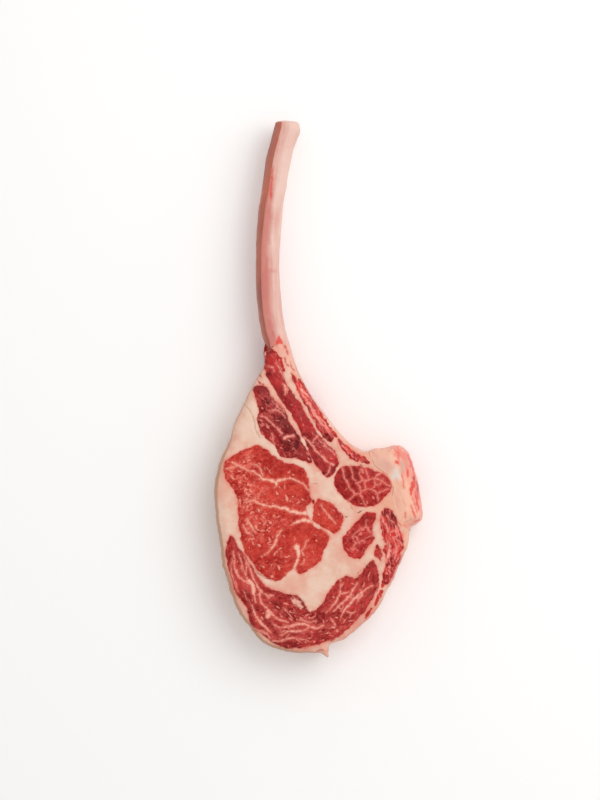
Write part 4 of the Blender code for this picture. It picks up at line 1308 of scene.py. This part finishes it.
def bone_material(name, cream, pink, stained, streaky):
    bone = Finish(name, specular=0.25)
    grain = bone.painted("grain", "Vector")
    streaks = bone.streaks(grain, 45, 520, 3, 0.6)
    patches = bone.streaks(grain, 25, 120)
    film = bone.add(bone.painted("film"), bone.add(bone.times(streaks, streaky), bone.times(patches, 0.9)))
    bone.base = bone.mix(bone.between(film, 0, 1), cream, pink)
    mottled = bone.add(bone.times(patches, 2.6), bone.times(streaks, 1.2), 0.5)
    membrane = bone.mix(bone.clamped(mottled), MEMBRANE, MEMBRANE_DEEP)
    torn = bone.add(bone.times(streaks, 0.5), bone.times(patches, 0.5))
    bone.over(membrane, bone.between(bone.add(bone.painted("membrane"), torn), 0.2, 0.8))
    bone.over(BRUISE, bone.painted("bruise"))
    bone.over(GRISTLE, bone.painted("gristle"))
    blood = bone.mark("blood")
    bone.over(BLOOD_HALO, blood["Halo"], 0.50)
    bone.over(FRESH_BLOOD, blood["Mask"], 0.85)
    uneven = bone.add(bone.times(streaks, 1.5), 1)
    bone.over(stained, bone.clamped(bone.times(bone.painted("stain"), uneven)))
    return bone.end(bone.times(streaks, 0.5), bone.add(bone.times(patches, 0.2), 0.38), grit=0.15)


rib_look = bone_material("rib_bone", BONE_CREAM, BONE_PINK, STAIN, 0.7)
chine_look = bone_material("chine_bone", CHINE_CREAM, CHINE_PINK, CHINE_STAIN, 2.2)
print("bone materials:", rib_look.name, "and", chine_look.name)

# %% [markdown]
# ## The muscles
# Each muscle swells a little where the knife let its fibres spring up, and sinks at its
# rim. The grain runs straight along most, and round the eye in the cap, whose crescent
# follows a circle. No mapping node gives such a bend, so each vertex stores its place
# along and across the grain.

# %% Direction of the grain
CAP_CENTRE = (-14.5, -133.5)  # of the circle that the cap's grain follows, in millimetres
CAP_RADIUS = 0.055
GRAIN_ANGLE = {
    "eye_muscle": 35, "outer_rib_muscle": -52, "long_rib_muscle": -56, "round_muscle": -62,
    "wedge_muscle": -48, "oval_muscle": 60, "side_muscle": -78, "bead_muscle": -80,
    "long_strip_front": -58, "short_strip_front": -50,
}


def straight_grain(points, angle):
    """For each point, how far it lies along and across the grain, and its height."""
    turn = math.radians(angle)
    along = points[:, 0] * math.cos(turn) + points[:, 1] * math.sin(turn)
    across = points[:, 1] * math.cos(turn) - points[:, 0] * math.sin(turn)
    return np.column_stack([along, across, points[:, 2]])


def grain_of(name, points):
    if name != "cap_muscle":
        return straight_grain(points, GRAIN_ANGLE[name])
    away = points[:, :2] - on_frame(CAP_CENTRE)
    round_eye = np.arctan2(away[:, 0], -away[:, 1]) * CAP_RADIUS
    return np.column_stack([round_eye, np.hypot(*away.T), points[:, 2]])


# %% [markdown]
# The rib runs through the middle of the two strips, so each is a piece in front of it
# and a piece behind it. Only the front face is seen close up, so it gets the finest mesh.

# %% Muscle pieces
FACE_SPACING = 0.00055  # of a front face; a back face has twice this
HIDDEN_SPACING = 0.003  # and a face on the rib has this
SWELL, SWELL_WIDTH = 0.0009, 0.006
RIM_SINK, RIM_WIDTH = 0.00018, 0.0009
SEAM_RISE, SEAM_EDGE = 0.00015, 0.0005
FACE_ROUGH, FACE_SEED = ((0.006, 0.0003), (0.0022, 0.00016)), 3
STRIP_FLOOR, STRIP_CEILING = 0.0374, 0.0086  # the strips end at the rib between these heights
STREAKIEST = 1.6

from_cuts = lines_field(CUTS, wander=0.5)


def muscle_piece(name, part):
    """A whole muscle, or the strip of it in front of the rib or behind the rib."""
    loop = outlines[name]
    from_rim = Nearest(loop)
    seam, fleck = lines_field(SEAMS.get(name, [])), lines_field([], FLECKS.get(name, ()))
    cut = from_cuts if part != "back" else lines_field([])

    def front(points):
        depth = from_rim(points)
        rise = SWELL * (1 - np.exp(-depth / SWELL_WIDTH)) - RIM_SINK * np.exp(-depth / RIM_WIDTH)
        seam_rise = SEAM_RISE * np.exp(-np.clip(seam(points), 0, 1) / SEAM_EDGE)
        return front_face(points) + rise + seam_rise + rough(points[:, :2], FACE_ROUGH, FACE_SEED)

    def flat_at(height):
        return lambda points: np.full(len(points), height)

    faces, spacings = [front, back_face], [FACE_SPACING, FACE_SPACING * 2]
    if part == "front":
        faces[1], spacings[1] = flat_at(STRIP_FLOOR), HIDDEN_SPACING
    if part == "back":
        faces[0], spacings[0] = flat_at(STRIP_CEILING), HIDDEN_SPACING
    piece = column(name + ("_back_meat" if part == "back" else "_meat"), [loop], *faces, *spacings)
    points = vertices_of(piece)
    paint(piece, seam=seam(points), fleck=fleck(points), rim=from_rim(points), cut=cut(points),
          marbled=MARBLED_BASE + spots_at(MARBLED.get(name, []), points),
          shade=spots_at(SHADE.get(name, []), points),
          cream=np.clip(spots_at(CREAM.get(name, []), points), 0, 1),
          streaky=np.clip(spots_at(STREAKY.get(name, []), points), 0, STREAKIEST),
          grain=grain_of(name, points))
    return piece


pieces = {}
for name in MUSCLES:
    if name.endswith("_front"):
        pieces[name] = muscle_piece(name, "front")
        pieces[name.replace("_front", "_back")] = muscle_piece(name, "back")
    else:
        pieces[name] = muscle_piece(name, "all")
for name, piece in pieces.items():
    piece.data.materials.append(meats["torn_meat" if name in TORN else SLOT_OF[name]])
    print(f"{piece.name}: {len(piece.data.polygons)} faces")

# %% [markdown]
# ## Flecks that stand up
# Where the knife pulled at the meat, the larger flecks of fat stand a little proud of it.
# They follow a rule, so Geometry Nodes scatters them: more where the marbling is dense,
# never closer than a set spacing, each a small uneven grain turned at random and half
# sunk in the meat.

# %% Tree for scattering flecks
BALL_ROUNDS = 3  # subdivisions of the ball that each grain is made from
LUMP_SCALE = 2.2  # of the noise that makes it uneven
LENGTHS = (0.9, 2.4)  # a grain's length over its width


def geometry_inputs(tree, inputs):
    tree.interface.new_socket("Geometry", in_out="INPUT", socket_type="NodeSocketGeometry")
    sockets = {}
    for label, (kind, default) in inputs.items():
        made = tree.interface.new_socket(label, in_out="INPUT", socket_type="NodeSocket" + kind)
        if default is not None:
            made.default_value = default
        sockets[label] = made
    tree.interface.new_socket("Geometry", in_out="OUTPUT", socket_type="NodeSocketGeometry")
    return sockets


def at_random(wire, low, high, seed):
    sockets = {"Min": low, "Max": high, "Seed": seed}
    made = wire.node("FunctionNodeRandomValue", sockets, data_type="FLOAT")
    return next(socket for socket in made.outputs if socket.enabled)


scatter = bpy.data.node_groups.new("Scatter Flecks", "GeometryNodeTree")
scatter_inputs = geometry_inputs(scatter, {
    "Density": ("Float", 30000), "Spacing": ("Float", 0.005), "Smallest": ("Float", 0.0006),
    "Largest": ("Float", 0.0014), "Flatness": ("Float", 0.25), "Unevenness": ("Float", 0.35),
    "Seed": ("Int", 5), "Material": ("Material", None)})
wire = Wiring(scatter)
given, result = wire.node("NodeGroupInput").outputs, wire.node("NodeGroupOutput").inputs
seed = given["Seed"]
dense = wire.node("GeometryNodeInputNamedAttribute", {"Name": "marbled"}, data_type="FLOAT")
spread = wire.node("GeometryNodeDistributePointsOnFaces", {
    "Mesh": given["Geometry"], "Distance Min": given["Spacing"], "Density Max": given["Density"],
    "Density Factor": dense.outputs["Attribute"], "Seed": seed}, distribute_method="POISSON").outputs
ball = wire.node("GeometryNodeMeshIcoSphere", {"Radius": 0.5, "Subdivisions": BALL_ROUNDS}).outputs["Mesh"]
lump = wire.shift(wire.node("GeometryNodeInputPosition").outputs[0], LUMP_SCALE, 1)
lump = wire.node("ShaderNodeVectorMath", {0: lump, "Scale": given["Unevenness"]}, operation="SCALE")
ball = wire.node("GeometryNodeSetPosition", {"Geometry": ball, "Offset": lump.outputs[0]}).outputs[0]
ball = wire.node("GeometryNodeSetShadeSmooth", {"Geometry": ball}).outputs[0]
width = at_random(wire, given["Smallest"], given["Largest"], seed)
length = wire.times(width, at_random(wire, *LENGTHS, wire.add(seed, 1)))
height = wire.times(width, given["Flatness"])
size = wire.node("ShaderNodeCombineXYZ", {"X": width, "Y": length, "Z": height}).outputs[0]
spin = wire.node("ShaderNodeCombineXYZ", {"Z": at_random(wire, -math.pi, math.pi, wire.add(seed, 2))})
turned = wire.node("FunctionNodeRotateRotation", {
    "Rotation": spread["Rotation"], "Rotate By": spin.outputs[0]}, rotation_space="LOCAL").outputs[0]
grains = wire.node("GeometryNodeInstanceOnPoints", {
    "Points": spread["Points"], "Instance": ball, "Rotation": turned, "Scale": size}).outputs[0]
grains = wire.node("GeometryNodeRealizeInstances", {"Geometry": grains}).outputs[0]
grains = wire.node("GeometryNodeSetMaterial", {"Geometry": grains, "Material": given["Material"]})
wire.set(result["Geometry"], grains.outputs[0])
print(f"{scatter.name}: {len(scatter.nodes)} nodes")

# %% Flecks piece
FLECK_MUSCLES = ("eye_muscle", "cap_muscle")
FLECK_MARGIN = 0.003  # no fleck stands this near a muscle's edge,
FLECK_FREE = 0.0045  # and from here on they stand as densely as the marbling says
UPWARD = 0.9  # least height of a flecked face's normal


def fleck_material():
    fleck = Finish("standing_flecks")
    uneven = fleck.between(fleck.noise(fleck.place, 500), -0.1, 0.1)
    fleck.base = fleck.mix(uneven, MEATS["cap_meat"]["fleck"], MEATS["eye_meat"]["seam"])
    return fleck.end(uneven, 0.45, grit=0.2, depth=0.0001)


def baked(name, vertices, faces, layers, tree, inputs):
    """A plain mesh piece made by a Geometry Nodes tree on a surface."""
    surface = new_piece(name + "_surface", vertices, faces)
    paint(surface, **layers)
    modifier = surface.modifiers.new("nodes", "NODES")
    modifier.node_group = tree
    for socket, value in inputs:
        modifier[socket.identifier] = value
    evaluated = surface.evaluated_get(bpy.context.evaluated_depsgraph_get())
    piece = bpy.data.objects.new(name, bpy.data.meshes.new_from_object(evaluated))
    bpy.data.objects.remove(surface, do_unlink=True)
    bpy.context.scene.collection.objects.link(piece)
    return piece


corners, upward, density, first = [], [], [], 0
for name in FLECK_MUSCLES:
    points = vertices_of(pieces[name])
    for face in pieces[name].data.polygons:
        if face.normal.z > UPWARD:
            upward.append(tuple(first + i for i in face.vertices))
    inner = ease(Nearest(outlines[name])(points), FLECK_MARGIN, FLECK_FREE)
    density.append(np.clip(MARBLED_BASE + spots_at(MARBLED[name], points), 0, 1) * inner)
    corners.append(points)
    first += len(points)
standing = baked("standing_flecks", np.vstack(corners), upward, {"marbled": np.concatenate(density)},
                 scatter, [(scatter_inputs["Material"], fleck_material())])
print(f"standing flecks: {len(standing.data.polygons)} faces")

# %% [markdown]
# ## The fat
# One piece of fat holds everything together, with a hole for every muscle. Its free wall
# is what a cook sees from the side, so it gets rows of points and is pushed about like a
# real trimmed edge. A fold is a shallow groove in the mesh, so that light finds it, and
# the material darkens it with tan as painted shade.

# %% Fat piece
FAT_SPACING = 0.0008  # of the fat's front face
WALL_ROWS = 24
WALL_PINCH = 0.0006  # the wall is drawn in by this half way down
WALL_ROUGH, WALL_SEED = ((0.016, 0.0012), (0.005, 0.0005)), 21
WALL_FREE = (0.001, 0.006)  # the wall stays put where the chine bone is this near
FAT_ROUGH, FAT_SEED = ((0.009, 0.0003), (0.003, 0.00008)), 11
GROOVE_DEPTH, GROOVE_WIDTH = 0.0004, 0.0006

holes = [outlines[name] for name in MUSCLES]
from_meat = Nearest(np.vstack(holes))
from_creases = lines_field(CREASES, wander=0.5)


def fat_front(points):
    sink = RIM_SINK * np.exp(-from_meat(points) / RIM_WIDTH)
    from_groove = np.clip(np.minimum(from_cuts(points), from_creases(points)), 0, 1)
    groove = GROOVE_DEPTH * np.exp(-from_groove / GROOVE_WIDTH)
    return front_face(points) - sink - groove + rough(points[:, :2], FAT_ROUGH, FAT_SEED)


def uneven_wall(ring, share):
    """Pushes a row of the wall in and out, most of all half way down."""
    push = rough(ring, WALL_ROUGH, WALL_SEED) - WALL_PINCH
    push *= math.sin(math.pi * share)
    push *= ease(np.maximum(along_chine(ring), along_fat(ring)), *WALL_FREE)
    moved = ring.copy()
    moved[:, :2] += outward(ring[:, :2]) * push[:, None]
    return moved


fat = column("fat_body", [fat_outline] + holes, fat_front, back_face, FAT_SPACING, FAT_SPACING * 2,
             WALL_ROWS, uneven_wall, seed=9)
print(f"fat: {len(fat.data.polygons)} faces")

# %% [markdown]
# The fat's layers say where it is pink, yellow or tan. The tan flank comes a little way
# round onto the face. It reaches further and is stronger on the left, as painted shade on
# the side away from the lamp, and it is not at the neck, which has the colours of the bone beside it.

# %% Layers of the fat
# The wider, stronger tan on the left is painted shade, on the side away from the lamp
FLANK_REACH = (0.0012, 0.0044)  # how far in the tan flank shows, on the right and on the left
FLANK_LEFT_X = (0.02, -0.03)  # it turns from right to left between these x,
FLANK_LOW_Y, FLANK_HIGH_SHARE = (-0.03, -0.065), 0.35  # and is narrower above these y
FLANK_SOLID, FLANK_RIGHT_SHARE, FLANK_STRENGTH = 0.2, 0.3, 1.3
NECK_TONE_Y = (0.014, 0.03)  # the neck has the bone's colours above these
SOAK = 0.002  # how far blood soaks into the fat beside meat

points = vertices_of(fat)
neck = ease(points[:, 1], *NECK_TONE_Y)
on_left = ease(points[:, 0], *FLANK_LEFT_X) * blend(FLANK_HIGH_SHARE, 1, ease(points[:, 1], *FLANK_LOW_Y))
reach = blend(*FLANK_REACH, on_left)
# Painted shade: the tan is wider and stronger on the left
flank = 1 - ease(from_edge(points), FLANK_SOLID * reach, reach)
flank *= FLANK_STRENGTH * blend(FLANK_RIGHT_SHARE, 1, on_left) * (1 - neck)
paint(fat, to_meat=from_meat(points), beside_meat=np.exp(-from_meat(points) / SOAK), flank=flank,
      neck=neck, shade=spots_at(SHADE["fat"], points),
      blush=np.clip(spots_at(BLUSH, points), -1, 1), peach=np.clip(spots_at(PEACH, points), 0, 1),
      scrap=lines_field(SCRAPS, wander=0.3)(points), cut=from_cuts(points),
      red_line=lines_field(RED_LINES, wander=0.6)(points), crease=from_creases(points))
fat.data.materials.append(fat_look)
print(f"the tan flank covers {np.mean(flank > 0.5):.0%} of the fat's points")

# %% [markdown]
# ## The rib
# A rib is a long curved bone with a steep inner side, a ridge, and a back that falls
# gently away. A bevelled curve would keep one section all along. Here a tube of sections
# follows the bone's two sides, so that the bone can widen and its ridge can wander. The
# sides are read from the solid, and moved by up to 2 mm where the real bone is leaner.

# %% Sides of the rib
RIB_STEP = 0.001  # between the sections
TIP_CORNERS = ((-0.5, 1), (0.8, 1))  # directions in which the tip's two corners lie
END_CORNER = (0.5, -1)  # and one corner of the end in the meat
# Moves of the two sides in x, at heights y up the picture, in millimetres
RIB_INNER_NUDGE = (
    (36, 0), (44, -1.5), (57, -1.9), (70, -0.9), (95, 0), (140, -0.6), (148, -0.8), (160, 0.3), (166, 0),
    (179, -0.9), (185, -1.6), (198, -1.1), (210, -0.7)
)
RIB_OUTER_NUDGE = (
    (36, -0.5), (50, -1.6), (57, -1.4), (76, -1), (100, -0.5), (125, -0.2), (150, 0.2), (164, 0.9),
    (180, 0.4), (190, 0.2), (197, -0.3), (204, -1.4), (210, 0.1)
)


def corner(loop, direction):
    return int(np.argmax(loop @ np.array(direction)))


def path_between(loop, first, last):
    """The stretch of a closed loop from one index on to another."""
    return np.roll(loop, -first, axis=0)[:(last - first) % len(loop) + 1]


inner_tip, outer_tip = (corner(rib_rim, direction) for direction in TIP_CORNERS)
inner_end = corner(rib_rim, END_CORNER)
outer_end = (inner_end + 1) % len(rib_rim)
inner_side = spline(path_between(rib_rim, inner_tip, inner_end), RIB_STEP, False)
outer_side = spline(path_between(rib_rim, outer_end, outer_tip)[::-1], RIB_STEP, False)
for side, nudges in ((inner_side, RIB_INNER_NUDGE), (outer_side, RIB_OUTER_NUDGE)):
    side[:, 0] += np.interp(side[:, 1] / MM, *zip(*nudges)) * MM
sections = round(lengths_along(inner_side)[-1] / RIB_STEP)
inner_side, outer_side = resample(inner_side, sections), resample(outer_side, sections)
along = lengths_along((inner_side + outer_side) / 2)
print(f"rib: {sections} sections over {along[-1] * 1000:.0f} mm")

# %% Sections of the rib
RIB_MIDDLE, RIB_HALF_DEPTH = 0.023, 0.014  # the middle's height, and half the bone's depth
RIB_WAIST, RIB_WAIST_Y = 0.0012, (0.045, 0.215)  # it is thinner by this between these y
# Points of the section across the bone, from 0 to 1, and up it, from -1 to 1
RIB_SECTION = (
    (0, 0), (0.03, 0.45), (0.14, 0.78), (0.27, 0.99), (0.31, 1), (0.55, 0.97), (0.8, 0.88), (0.93, 0.7),
    (0.985, 0.4), (1, 0), (0.97, -0.45), (0.83, -0.85), (0.5, -1), (0.2, -0.88), (0.03, -0.48)
)
RIB_ROUND = 84  # points round a section
RIDGE = 0.29  # where the section's ridge lies across the bone
# Where it lies along the bone, and how strong the pink film is across it and along it
RIDGE_ALONG = ((0, 0.31), (0.15, 0.34), (0.35, 0.26), (0.55, 0.22), (0.75, 0.22), (0.9, 0.3), (1, 0.34))
FILM_ACROSS = ((0, 0.9), (0.3, 1.05), (0.42, 0.95), (0.5, 0.7), (0.58, 0.4), (0.7, 0.25), (1, 0.12))
FILM_ALONG = ((0, 0.45), (0.1, 0.45), (0.18, 0.75), (0.28, 1), (0.4, 1.05), (0.8, 1), (1, 1))
PINK_ALONG = ((0, 0), (0.45, 0.02), (0.6, 0.12), (0.75, 0.22), (1, 0.2))
UNDERSIDE_PINK = 0.6  # share of that pink on the underside
MEMBRANE_ACROSS, MEMBRANE_UP = (0.01, -0.05), (-0.7, -0.2)  # it starts this far from the ridge
GRAIN_RADIUS = 0.012  # of the cylinder that the bone's pattern is laid on
RIB_ROUGH, RIB_SEED = ((0.012, 0.0004), (0.004, 0.00015)), 31

section = resample(spline(np.array(RIB_SECTION), 0.02, True), RIB_ROUND + 1)[:-1]
across, up = section.T
turn = 2 * math.pi * np.arange(RIB_ROUND) / RIB_ROUND
around = np.cos(turn) * GRAIN_RADIUS, np.sin(turn) * GRAIN_RADIUS
rings, grains, films, membranes = [], [], [], []
for i in range(sections):
    share = along[i] / along[-1]
    ridge = np.interp(share, *zip(*RIDGE_ALONG))
    bent = np.interp(across, (0, RIDGE, 1), (0, ridge, 1))[:, None]
    plan = inner_side[i] * (1 - bent) + outer_side[i] * bent
    waist = RIB_WAIST * math.sin(math.pi * float(np.interp(plan[:, 1].mean(), RIB_WAIST_Y, (0, 1))))
    ring = np.column_stack([plan, RIB_MIDDLE + (RIB_HALF_DEPTH - waist) * up])
    away = ring - np.array([*plan.mean(0), RIB_MIDDLE])
    away /= np.linalg.norm(away, axis=1)[:, None]
    rings.append(ring + away * rough(ring, RIB_ROUGH, RIB_SEED)[:, None])
    grains.append(np.column_stack([np.full(RIB_ROUND, along[i]), *around]))
    film = np.interp(across, *zip(*FILM_ACROSS)) * np.interp(share, *zip(*FILM_ALONG))
    pink = np.interp(share, *zip(*PINK_ALONG)) * np.where(up > 0, 1, UNDERSIDE_PINK)
    films.append(film + pink)
    membranes.append(ease(across, *(RIDGE + step for step in MEMBRANE_ACROSS)) * ease(up, *MEMBRANE_UP))
print(f"section: {RIB_ROUND} points, {np.ptp(rings[0][:, 0]) * 1000:.0f} mm wide at the tip")

# %% [markdown]
# The sawn tip shows the bone's make-up: a hard pale rim and red spongy marrow inside.
# A flat cap would look machined, so smaller and smaller rings make a low dome.

# %% Ends of the rib
# For each ring towards the middle: how much it shrinks, its share of the dome, and its film
TIP_RINGS = (
    (0.03, 0.22, 0.2), (0.08, 0.45, 0.2), (0.16, 0.66, 0.2), (0.28, 0.84, 0.4), (0.42, 0.94, 1.2),
    (0.62, 1, 1.5), (0.85, 1, 1.5)
)
TIP_BULGE = 0.002  # the dome's height
TIP_SECTIONS = 3  # the bone's direction is judged over these
MARROW_FILM, END_FILM = 2, 0.5  # at the tip's middle, and at the end in the meat

toward_tip = inner_side[0] + outer_side[0] - inner_side[TIP_SECTIONS] - outer_side[TIP_SECTIONS]
toward_tip = np.array([*(toward_tip / np.linalg.norm(toward_tip)), 0])
tip, middle = rings[0], rings[0].mean(0)
for shrink, bulge, film in TIP_RINGS:
    rings.insert(0, middle + (tip - middle) * (1 - shrink) + toward_tip * TIP_BULGE * bulge)
    grains.insert(0, grains[0])
    films.insert(0, np.full(RIB_ROUND, film))
    membranes.insert(0, np.zeros(RIB_ROUND))


def tube(name, rings):
    """A closed tube through rings of points, with a fan over each end."""
    count, size = len(rings), len(rings[0])
    number = np.arange(count * size).reshape(count, size)
    onward = np.roll(number, -1, axis=1)
    faces = [quad for rows in zip(number, onward, onward[1:], number[1:]) for quad in zip(*rows)]
    faces += [(near, count * size, far) for near, far in zip(number[0], onward[0])]
    faces += [(far, count * size + 1, near) for near, far in zip(number[-1], onward[-1])]
    piece = new_piece(name, np.vstack(rings + [[rings[0].mean(0), rings[-1].mean(0)]]), faces)
    solid = bmesh.new()
    solid.from_mesh(piece.data)
    bmesh.ops.recalc_face_normals(solid, faces=solid.faces)
    solid.to_mesh(piece.data)
    solid.free()
    return piece


rib = tube("rib_bone_shaft", rings)
print(f"rib: {len(rib.data.polygons)} faces")

# %% Layers of the rib
RIB_STAIN, RIB_BLUR = 0.22, 0.0009  # how strong the drawn stains are, and how soft


def stained_by(lines, points, blur):
    """1 on the lines, and soft at their edges."""
    return np.exp(-(np.clip(lines_field(lines, wander=0.5)(points), 0, 1) / blur) ** 2)


points = vertices_of(rib)
on_top = points[:, 2] > RIB_MIDDLE
stains = RIB_STAIN * stained_by(RIB_STAINS, points, RIB_BLUR) + spots_at(RIB_STAINED, points)
paint(rib, grain=np.vstack(grains + [[grains[0].mean(0), grains[-1].mean(0)]]),
      film=np.concatenate(films + [[MARROW_FILM, END_FILM]]) + spots_at(RIB_FILM, points),
      membrane=np.concatenate(membranes + [[0, 0]]), stain=np.where(on_top, stains, 0),
      blood=np.where(on_top, lines_field(RIB_STREAKS, wander=0.5)(points), FAR_AWAY),
      bruise=np.zeros(len(points)), gristle=np.zeros(len(points)))
rib.data.materials.append(rib_look)
print(f"{np.mean(stains[on_top] > 0.1):.0%} of the rib's top is stained")

# %% [markdown]
# ## The chine bone
# The chine is the sawn half of a vertebra. Its cut face is level with the meat as far as
# a ridge, and beyond it the outside of the bone slopes down. It is one more column, like
# the muscles, whose front face falls away near its free edge.

# %% Chine piece
CHINE_RISE, CHINE_RISE_REACH = 0.0004, 0.008  # the bone stands a little above the fat
CHINE_SLOPE_REACH, CHINE_SLOPE_DROP = 0.0155, 0.024
CHINE_TOP_REACH, CHINE_TOP_DROP = 0.009, 0.009
CHINE_BACK_REACH, CHINE_BACK_DROP = 0.005, 0.005
CHINE_SEAM_DIP, CHINE_SEAM_WIDTH = 0.0001, 0.001
CHINE_ROUGH, CHINE_SEED = ((0.011, 0.0008), (0.0035, 0.0003)), 41
CHINE_WALL_ROWS = 18
RIDGE_TOP_X, RIDGE_TOP_Y = 0.066, -0.045  # the slope starts beyond this point of the edge

chine_free = chine_outline[from_fat(chine_outline) > SEAM_REACH]
is_slope = (chine_free[:, 0] > RIDGE_TOP_X) & (chine_free[:, 1] < RIDGE_TOP_Y)
from_slope, from_head = Nearest(chine_free[is_slope]), Nearest(chine_free[~is_slope])
from_chine_free = Nearest(chine_free)


def chine_front(points):
    slope = CHINE_SLOPE_DROP * rounded(from_slope(points), CHINE_SLOPE_REACH)
    head = CHINE_TOP_DROP * rounded(from_head(points), CHINE_TOP_REACH)
    dip = CHINE_SEAM_DIP * np.exp(-from_fat(points) / CHINE_SEAM_WIDTH)
    bumps = CHINE_RISE + rough(points[:, :2], CHINE_ROUGH, CHINE_SEED)
    bumps *= ease(from_fat(points), 0, CHINE_RISE_REACH)
    return cut_face(points) - np.maximum(slope, head) - dip + bumps


def chine_back(points):
    return CHINE_BACK_DROP * rounded(from_chine_free(points), CHINE_BACK_REACH)


chine = column("chine_bone_block", [chine_outline], chine_front, chine_back, FAT_SPACING,
               FAT_SPACING * 2, CHINE_WALL_ROWS, uneven_wall, seed=4)
print(f"chine: {len(chine.data.polygons)} faces")

# %% Layers of the chine
CHINE_GRAIN = -72  # the bone's grain, in degrees from the x axis
ON_SLOPE, LOW_DOWN = (0.015, 0.003), (0.026, 0.008)  # the film grows toward both
FILM_LEAST, FILM_ON_SLOPE, FILM_LOW_DOWN = 0.12, 0.4, 0.15
FACE_ABOVE, MARKS_ABOVE = 0.03, 0.02  # lowest heights of the spots and of the streaks
CHINE_STAIN_STRENGTH, CHINE_BLUR = 0.7, 0.0004

points = vertices_of(chine)
height = points[:, 2]
film = FILM_ON_SLOPE * ease(from_slope(points), *ON_SLOPE) + FILM_LOW_DOWN * ease(height, *LOW_DOWN)
stains = CHINE_STAIN_STRENGTH * stained_by(CHINE_STAINS, points, CHINE_BLUR)
paint(chine, grain=straight_grain(points, CHINE_GRAIN),
      film=FILM_LEAST + film + spots_at(CHINE_FILM, points), membrane=np.zeros(len(points)),
      bruise=np.clip(spots_at(CHINE_BRUISE, points), 0, 1) * (height > FACE_ABOVE),
      gristle=np.clip(spots_at(CHINE_GRISTLE, points), 0, 1) * (height > FACE_ABOVE),
      blood=np.where(height > MARKS_ABOVE, lines_field(CHINE_STREAKS)(points), FAR_AWAY),
      stain=np.where(height > MARKS_ABOVE, stains, 0))
chine.data.materials.append(chine_look)
print(f"the chine's film lies between {film.min():.2f} and {film.max():.2f}")

# %% [markdown]
# ## Handing the pieces to the frame
# Every piece rides on the one body and stands for the solid whose shape it has. The
# standing flecks are extra, so they replace nothing.

# %% Pieces on the body
pieces.update({"fat": fat, "rib_bone": rib, "chine_bone": chine})
for name, piece in pieces.items():
    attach(piece, "root")
    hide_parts(name)
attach(standing, "root")
print(len(pieces) + 1, "pieces ride on the frame")

# %% [markdown]
# ## Floor, light and camera
# The steak is seen from straight above, lit softly from the right. A long lens keeps
# the sides upright.

# %% Floor
FLOOR_SIZE = 6
FLOOR_GAP = 0.0002  # the floor lies this far below the steak
FLOOR_WHITE = (0.98, 0.98, 0.98, 1)

bpy.ops.mesh.primitive_plane_add(size=FLOOR_SIZE, location=(0, 0, -FLOOR_GAP))
floor = bpy.context.object
floor_material = bpy.data.materials.new("floor")
floor_material.use_nodes = True
floor_shader = floor_material.node_tree.nodes["Principled BSDF"].inputs
floor_shader["Base Color"].default_value = FLOOR_WHITE
floor_shader["Roughness"].default_value = 1
floor_shader["Specular IOR Level"].default_value = 0
floor.data.materials.append(floor_material)
print(f"floor: {FLOOR_SIZE:.0f} m wide")

# %% Light
SKY_COLOUR, SKY_STRENGTH = (1, 0.985, 0.97, 1), 0.74
KEY_PLACE, KEY_TARGET = Vector((0.7, 0.5, 1.2)), Vector((0, -0.05, 0))
KEY_SIZE, KEY_POWER = 1.2, 10

world = bpy.data.worlds.new("studio")
world.use_nodes = True
sky = world.node_tree.nodes["Background"].inputs
sky["Color"].default_value = SKY_COLOUR
sky["Strength"].default_value = SKY_STRENGTH
bpy.context.scene.world = world
bpy.context.scene.view_settings.view_transform = "Standard"
bpy.ops.object.light_add(type="AREA", location=KEY_PLACE)
lamp = bpy.context.object
lamp.data.size = KEY_SIZE
lamp.data.energy = KEY_POWER
lamp.rotation_euler = (KEY_TARGET - KEY_PLACE).to_track_quat("-Z", "Y").to_euler()
print(f"light: a sky of {SKY_STRENGTH} and a lamp of {KEY_POWER} W")

# %% Camera
LENS, SENSOR = 100, 36
FRAME_HEIGHT = 0.64  # what the picture's height covers at the cut face
VIEW_CENTRE = (-0.015, -0.0086)

bpy.ops.object.camera_add(location=(*VIEW_CENTRE, THICKNESS + FRAME_HEIGHT * LENS / SENSOR))
camera = bpy.context.object
camera.data.lens = LENS
camera.data.sensor_width = SENSOR
bpy.context.scene.camera = camera
print(f"camera: {camera.location.z:.2f} m up")
